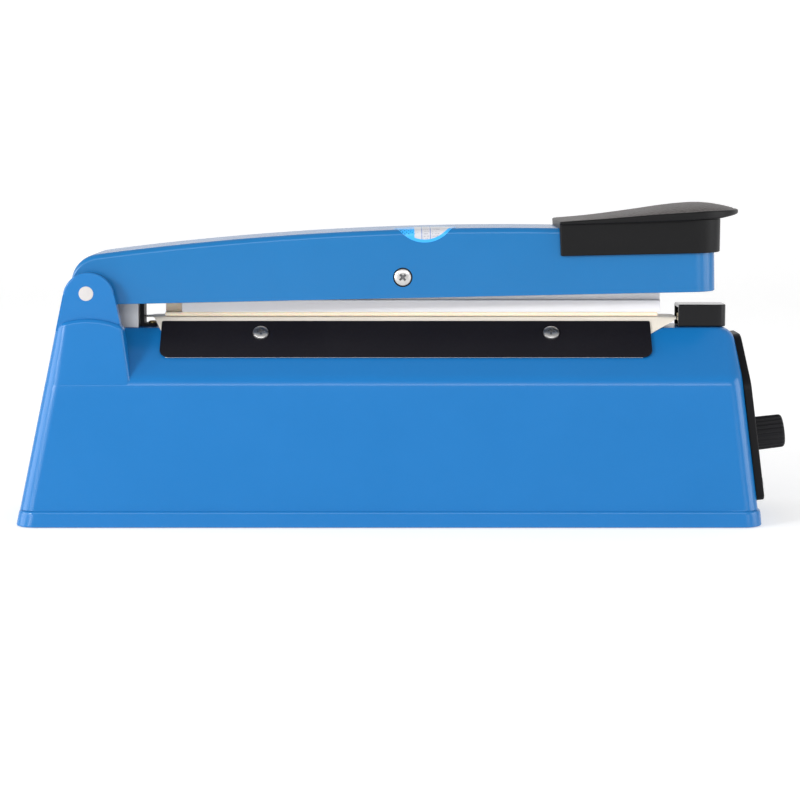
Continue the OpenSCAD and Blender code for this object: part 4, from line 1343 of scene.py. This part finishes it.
@dataclass(frozen=True)
class ControlPanel:
    """The black panel on the front wall with its printed dial."""

    outline: tuple[tuple[float, float], ...] = ((23.4, -33.0), (23.4, 33.0), (-25.0, 28.2), (-43.9, 10.5),
                                                (-43.9, -10.5), (-25.0, -28.2))
    thickness: float = 3.2
    corner: float = 3.0
    dial: float = 10.2
    marks: int = 9
    sweep: float = 280.0
    long_mark: tuple[float, float] = (1.9, 0.22)
    short_mark: tuple[float, float] = (1.1, 0.14)
    number_out: float = 4.1
    number_size: float = 3.4
    ink_depth: float = 0.05
    ink_thick: float = 0.09
    screw_x: float = 17.0
    screw_turns: tuple[tuple[float, float], ...] = ((-24.0, 20.0), (24.0, 65.0))
    lamp_x: float = -28.0
    lens: tuple[float, float, float] = (2.5, 0.9, 1.7)

    def plate(self) -> None:
        """The plate with rounded corners and a soft rim."""
        form = Form()
        points = [Vector((x, y, 0.0)) for x, y in self.outline]
        form.prism(points, Vector((0.0, 0.0, self.thickness)))
        form.soften(lambda e: abs(e.verts[0].co.z - e.verts[1].co.z) > 1.0, self.corner, 6)
        form.soften(lambda e: all(v.co.z > self.thickness - 0.1 for v in e.verts), 0.7, 3)
        form.publish("panel_plate", Body.BASE, [Palette.panel], Slot.PANEL, ["control_panel"],
                     LAYOUT.panel_frame())

    def print_marks(self) -> None:
        """The dial's ticks and its numbers, printed on the plate."""
        form = Form()
        z, thick = self.thickness - self.ink_depth, self.ink_thick
        for i in range(self.marks * 2 - 1):
            turn = math.radians(-self.sweep / 2 + self.sweep * i / (self.marks * 2 - 2))
            long, half = self.short_mark if i % 2 else self.long_mark
            reach = self.dial + long
            place = Matrix.Rotation(-turn, 4, "Z")
            bar = [(-self.dial, -half), (-reach, -half), (-reach, half), (-self.dial, half)]
            form.prism([place @ Vector((x, y, z)) for x, y in bar], Vector((0.0, 0.0, thick)))
        for i in range(self.marks):
            turn = math.radians(-self.sweep / 2 + self.sweep * i / (self.marks - 1))
            where = Vector((-math.cos(turn), math.sin(turn), 0.0)) * (self.dial + self.number_out)
            self._number(form, str(i), where, z, thick)
        form.publish("panel_print", Body.BASE, [Palette.ink], Slot.PANEL, [], LAYOUT.panel_frame(),
                     weighted=False)

    def _number(self, form: Form, text: str, where: Vector, z: float, thick: float) -> None:
        """One printed number, its top towards the panel's top."""
        curve = bpy.data.curves.new("number", "FONT")
        curve.body = text
        curve.size = self.number_size
        curve.align_x = "CENTER"
        curve.align_y = "CENTER"
        curve.extrude = thick / 2
        source = bpy.data.objects.new("number", curve)
        bpy.context.scene.collection.objects.link(source)
        bpy.context.view_layer.update()
        ready = bpy.data.meshes.new_from_object(source.evaluated_get(bpy.context.evaluated_depsgraph_get()))
        turn = Matrix(((0, -1, 0, where.x), (1, 0, 0, where.y), (0, 0, 1, z + thick / 2), (0, 0, 0, 1)))
        ready.transform(turn)
        form.bm.from_mesh(ready)
        bpy.data.meshes.remove(ready)
        bpy.data.objects.remove(source)
        bpy.data.curves.remove(curve)

    def screws(self) -> None:
        """The two panel screws."""
        form = Form()
        head = PanScrew(head=2.6, height=1.2, cross=1.9, slot=0.5, depth=0.7)
        for y, turn in self.screw_turns:
            seat = Matrix.Translation((self.screw_x, y, self.thickness))
            head.add(form, LAYOUT.panel_frame() @ seat, turn)
        form.publish("panel_screw_heads", Body.BASE, [Palette.zinc, Palette.worn], Slot.ZINC,
                     ["panel_screws"], weighted=False)

    def lamp(self) -> None:
        """The red lamp in its black bezel."""
        form = Form()
        place = Matrix.Translation((self.lamp_x, 0.0, self.thickness))
        bezel = [(0.0, -0.5), (4.0, -0.5), (4.0, 0.5), (3.7, 0.9), (3.1, 1.0), (2.9, 0.6), (2.9, 0.2),
                 (0.0, 0.2)]
        form.turned(bezel, place=place)
        radius, foot, rise = self.lens
        lens = [(0.0, 0.1), (radius, 0.1), (radius, foot)]
        lens += [(radius * math.cos(math.radians(a)), foot + rise * math.sin(math.radians(a)))
                 for a in (20.0, 40.0, 60.0, 75.0)]
        lens.append((0.0, foot + rise))
        glass = Form()
        glass.turned(lens, place=place)
        glass.paint(1)
        form.join(glass)
        form.publish("lamp_body", Body.BASE, [Palette.moulded, Palette.lamp], Slot.LAMP, ["indicator_lamp"],
                     LAYOUT.panel_frame(), weighted=False)

    def build(self) -> None:
        """The whole panel."""
        self.plate()
        self.print_marks()
        self.screws()
        self.lamp()


@dataclass(frozen=True)
class Knob:
    """The fluted timer knob with its pointer line."""

    low: float = 3.6
    high: float = 17.94
    foot: float = 7.25
    crown: float = 7.0
    flutes: int = 24
    fine: int = 8
    flute_depth: float = 0.42

    def ring(self, z: float, radius: float, depth: float) -> Outline:
        """A ring whose flutes are cut to a depth."""
        count = self.flutes * self.fine
        points = []
        for i in range(count):
            wave = max(math.cos(math.tau * i / self.fine), -0.2)
            r = radius - depth * (1.0 - wave) / 1.2
            a = math.tau * i / count
            points.append(Vector((r * math.cos(a), r * math.sin(a), z)))
        return points

    def build(self) -> None:
        """Publishes the knob and its pointer."""
        form = Form()
        cut = self.flute_depth
        levels = [(self.low, self.foot - 0.3, 0.0), (self.low + 0.3, self.foot, 0.0),
                  (self.low + 1.5, self.foot, 0.0),
                  (self.low + 1.9, self.foot - 0.1, cut), (self.high - 1.4, self.crown, cut),
                  (self.high - 0.8, self.crown - 0.1, 0.3), (self.high - 0.25, self.crown - 0.45, 0.1),
                  (self.high, self.crown - 0.9, 0.0), (self.high, self.crown - 2.0, 0.0),
                  (self.high - 0.35, self.crown - 2.5, 0.0), (self.high - 0.4, 0.4, 0.0)]
        form.loft([self.ring(*level) for level in levels])
        mark = Form()
        mark.box((-self.crown + 0.9, -0.35, self.high - 0.6), (-2.2, 0.35, self.high - 0.02))
        mark.paint(1)
        form.join(mark)
        form.publish("knob_cap", Body.KNOB, [Palette.knob, Palette.ink], Slot.KNOB, ["timer_knob"],
                     LAYOUT.panel_frame(), sharp=40.0)


# ---- screws and pieces kept close to the CAD ----


@dataclass(frozen=True)
class GlandBore:
    """A near-black disc of painted shade that closes the cord gland's empty bore."""

    height: float = 22.0
    radius: float = 3.45
    low: float = -0.4
    high: float = 0.25

    def build(self) -> None:
        """Publishes the disc of painted shade that closes the bore."""
        form = Form()
        form.turned([(0.0, self.low), (self.radius, self.low), (self.radius, self.high), (0.0, self.high)])
        form.publish("gland_bore", Body.BASE, [Palette.recess], Slot.MOULDED, [],
                     LAYOUT.rear_frame(self.height), weighted=False)


@dataclass(frozen=True)
class JawBolt:
    """The head of the bolt that carries the pressure bar."""

    head: PanScrew = PanScrew(head=3.62, height=1.2, cross=4.0, slot=1.0, depth=0.7)

    def build(self) -> None:
        """Publishes the head and its shank."""
        form = Form()
        x, z = ARM.bolt
        place = Matrix.Translation((x, -ARM.half + ARM.bolt_depth, z)) @ Matrix.Rotation(QUARTER, 4, "X")
        self.head.add(form, place, 40.0)
        reach = ARM.half * 2 - 1.0
        form.turned([(0.0, 0.2), (1.95, 0.2), (1.95, -reach), (0.0, -reach)], place=place)
        form.publish("jaw_bolt_head", Body.ARM, [Palette.bright, Palette.worn], Slot.BRIGHT, ["jaw_bolt"],
                     LAYOUT.arm_frame(), weighted=False)


@dataclass(frozen=True)
class Eased:
    """A CAD node redrawn with merged faces and softened edges."""

    node: str
    body: Body
    finish: Finish
    slot: Slot
    width: float = 0.3
    segments: int = 2
    sharp: float = 35.0

    def build(self) -> None:
        """Copies the node's mesh, merges it and rounds its edges."""
        form = Form()
        form.bm.from_mesh(frame["nodes"][self.node].data)
        bmesh.ops.scale(form.bm, vec=(1.0 / METRES,) * 3, verts=form.bm.verts)
        bmesh.ops.remove_doubles(form.bm, verts=form.bm.verts, dist=WELD)
        bmesh.ops.dissolve_limit(form.bm, angle_limit=math.radians(0.6), use_dissolve_boundaries=False,
                                 verts=form.bm.verts, edges=form.bm.edges)
        piece = form.publish(f"{self.node}_eased", self.body, [self.finish], self.slot, [self.node],
                             sharp=self.sharp, weighted=False)
        if self.width > 0.0:
            ease = piece.modifiers.new("ease", "BEVEL")
            ease.width = self.width * METRES
            ease.segments = self.segments
            ease.limit_method = "ANGLE"
            ease.angle_limit = math.radians(40.0)
            ease.use_clamp_overlap = True
            ease.harden_normals = True


def eased_pieces() -> list[Eased]:
    """Every CAD node that is redrawn with softened edges."""
    base, arm, pal = Body.BASE, Body.ARM, Palette
    return [
        Eased("base_tray", base, pal.tray, Slot.TRAY, 0.3),
        Eased("rubber_feet", base, pal.rubber, Slot.RUBBER, 0.4),
        Eased("base_screws", base, pal.zinc, Slot.ZINC, 0.0),
        Eased("cord_gland", base, pal.moulded, Slot.MOULDED, 0.3),
        Eased("hinge_bracket", base, pal.zinc, Slot.ZINC, 0.2),
        Eased("bracket_screws", base, pal.zinc, Slot.ZINC, 0.0),
        Eased("hinge_pin", base, pal.ivory, Slot.IVORY, 0.25),
        Eased("arm_return_spring", base, pal.spring, Slot.SPRING, 0.0, sharp=60.0),
        Eased("jaw_rail", base, pal.aluminium, Slot.ALUMINIUM, 0.2),
        Eased("rail_screws", base, pal.zinc, Slot.ZINC, 0.0),
        Eased("insulation_tape", base, pal.tape, Slot.TAPE, 0.0),
        Eased("heating_element", base, pal.element, Slot.ELEMENT, 0.0),
        Eased("rear_terminal", base, pal.moulded, Slot.MOULDED, 0.25),
        Eased("rear_terminal_screw", base, pal.brass, Slot.BRASS, 0.0),
        Eased("front_terminal_block", base, pal.ceramic, Slot.CERAMIC, 0.3),
        Eased("front_block_screw", base, pal.brass, Slot.BRASS, 0.0),
        Eased("tension_hook", Body.TAKE_UP, pal.brass, Slot.BRASS, 0.15),
        Eased("tension_spring", base, pal.spring, Slot.SPRING, 0.0, sharp=60.0),
        Eased("terminal_cover", base, pal.gloss, Slot.GLOSS, 0.5, 3),
        Eased("potentiometer", base, pal.zinc, Slot.ZINC, 0.2),
        Eased("pot_nut", base, pal.bright, Slot.BRIGHT, 0.2),
        Eased("pot_shaft", Body.KNOB, pal.aluminium, Slot.ALUMINIUM, 0.3),
        Eased("timer_board", base, pal.board, Slot.BOARD, 0.0),
        Eased("board_standoffs", base, pal.brass, Slot.BRASS, 0.0),
        Eased("board_screws", base, pal.zinc, Slot.ZINC, 0.0),
        Eased("relay", base, pal.relay, Slot.RELAY, 0.4),
        Eased("board_capacitors", base, pal.capacitor, Slot.CAPACITOR, 0.4),
        Eased("board_connectors", base, pal.connector, Slot.CONNECTOR, 0.2),
        Eased("transformer_core", base, pal.core, Slot.CORE, 0.2),
        Eased("transformer_coil", base, pal.coil, Slot.COIL, 2.0, 3),
        Eased("transformer_bracket", base, pal.zinc, Slot.ZINC, 0.2),
        Eased("transformer_screws", base, pal.zinc, Slot.ZINC, 0.0),
        Eased("micro_switch", base, pal.moulded, Slot.MOULDED, 0.3),
        Eased("switch_bracket", base, pal.zinc, Slot.ZINC, 0.2),
        Eased("switch_push_rod", Body.ROD, pal.ivory, Slot.IVORY, 0.3),
        Eased("mains_leads", base, pal.brown, Slot.BROWN, 0.0, sharp=60.0),
        Eased("jaw_leads", base, pal.white, Slot.WHITE, 0.0, sharp=60.0),
        Eased("control_leads", base, pal.red, Slot.RED, 0.0, sharp=60.0),
        Eased("handle_screws", arm, pal.zinc, Slot.ZINC, 0.0),
        Eased("jaw_bolt_nut", arm, pal.zinc, Slot.ZINC, 0.2),
        Eased("bolt_spacers", arm, pal.ivory, Slot.IVORY, 0.2),
        Eased("switch_adjusting_screw", arm, pal.zinc, Slot.ZINC, 0.15),
        Eased("pressure_bar", Body.JAW, pal.bar, Slot.BAR, 0.35, 3),
        Eased("silicone_strip", Body.JAW, pal.silicone, Slot.SILICONE, 0.3),
    ]


# ---- the studio ----


@dataclass(frozen=True)
class AreaLight:
    """One soft box."""

    name: str
    place: tuple[float, float, float]
    aim: tuple[float, float, float]
    size: tuple[float, float]
    power: float

    def build(self) -> None:
        """Adds the light to the scene."""
        data = bpy.data.lights.new(self.name, "AREA")
        data.shape = "RECTANGLE"
        data.size, data.size_y = self.size
        data.energy = self.power
        lamp = bpy.data.objects.new(self.name, data)
        lamp.location = self.place
        lamp.rotation_euler = (Vector(self.aim) - Vector(self.place)).to_track_quat("-Z", "Y").to_euler()
        bpy.context.scene.collection.objects.link(lamp)


@dataclass(frozen=True)
class Studio:
    """Camera, pale sweep and lights."""

    camera_place: tuple[float, float, float] = (-0.00245, -1.0, 0.160)
    camera_tilt: float = 83.63
    lens: float = 107.1
    world: float = 0.44
    sweep_half: float = 3.0
    sweep_depth: float = 2.2
    sweep_height: float = 2.4
    bend: float = 0.8
    bend_steps: int = 12
    floor_glow: float = 0.45
    aim: tuple[float, float, float] = (0.0, 0.0, 0.07)

    def camera(self) -> None:
        """The camera, made first."""
        data = bpy.data.cameras.new("camera")
        data.lens = self.lens
        data.sensor_width = 36.0
        data.clip_start = 0.01
        made = bpy.data.objects.new("camera", data)
        made.location = self.camera_place
        made.rotation_euler = (math.radians(self.camera_tilt), 0.0, 0.0)
        bpy.context.scene.collection.objects.link(made)
        bpy.context.scene.camera = made

    def surroundings(self) -> None:
        """A white world and a white sweep under and behind the machine."""
        scene = bpy.context.scene
        world = bpy.data.worlds.new("studio")
        world.use_nodes = True
        sky = world.node_tree.nodes["Background"]
        sky.inputs["Color"].default_value = (1.0, 1.0, 1.0, 1.0)
        sky.inputs["Strength"].default_value = self.world
        scene.world = world
        scene.view_settings.view_transform = "Standard"
        form = Form()
        bend = self.bend
        turns = [QUARTER * share for share in even(self.bend_steps)[1:]]
        profile = [(-self.sweep_half, 0.0), (self.sweep_depth - bend, 0.0)]
        profile += [(self.sweep_depth - bend + bend * math.sin(a), bend * (1 - math.cos(a))) for a in turns]
        profile.append((self.sweep_depth, self.sweep_height))
        front = [Vector((-self.sweep_half, y, z)) for y, z in profile]
        back = [p + Vector((0.0, 0.02, -0.02)) for p in reversed(front)]
        form.prism(front + back, Vector((self.sweep_half * 2, 0.0, 0.0)))
        bmesh.ops.recalc_face_normals(form.bm, faces=form.bm.faces)
        mesh = bpy.data.meshes.new("sweep")
        form.bm.to_mesh(mesh)
        form.bm.free()
        white = Finish("sweep_white", (0.72, 0.72, 0.72), roughness=0.9, specular=0.0, tone=0.0,
                       glow=self.floor_glow, pattern=Pattern.FADE)
        mesh.materials.append(white.material())
        mesh.polygons.foreach_set("use_smooth", [True] * len(mesh.polygons))
        mesh.set_sharp_from_angle(angle=math.radians(40.0))
        floor = bpy.data.objects.new("sweep", mesh)
        scene.collection.objects.link(floor)

    def lights(self) -> None:
        """Soft boxes from the left, the right and in front."""
        aim = self.aim
        for light in (
            AreaLight("key_left", (-1.2, -1.05, 0.62), aim, (0.4, 0.4), 13.0),
            AreaLight("front", (0.1, -1.5, 0.72), aim, (1.8, 0.2), 8.5),
            AreaLight("low_left", (-1.45, -1.9, 0.14), aim, (0.8, 0.2), 6.0),
            AreaLight("low_right", (1.45, -1.9, 0.14), aim, (0.8, 0.2), 2.0),
            AreaLight("edge_right", (1.25, -0.25, 0.4), aim, (0.8, 0.8), 7.0),
            AreaLight("edge_left", (-1.3, -0.15, 0.35), aim, (0.9, 0.8), 9.0),
        ):
            light.build()

    def build(self) -> None:
        """The whole studio."""
        self.camera()
        self.surroundings()
        self.lights()


def main() -> None:
    """Builds the studio and every piece in order."""
    logging.basicConfig(level=logging.INFO, format="%(message)s")
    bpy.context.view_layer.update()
    for effect in (build_tone, build_dust, build_grain, build_brushed, build_weave, build_pebble,
                   build_label, build_fade):
        effect()
    Studio().build()
    Casing().build()
    ARM.build()
    Handle().build()
    Sticker().build()
    JawBolt().build()
    ClampStrips().build()
    Cloth().build()
    ControlPanel().build()
    Knob().build()
    GlandBore().build()
    for piece in eased_pieces():
        piece.build()


if __name__ == "__main__":
    main()
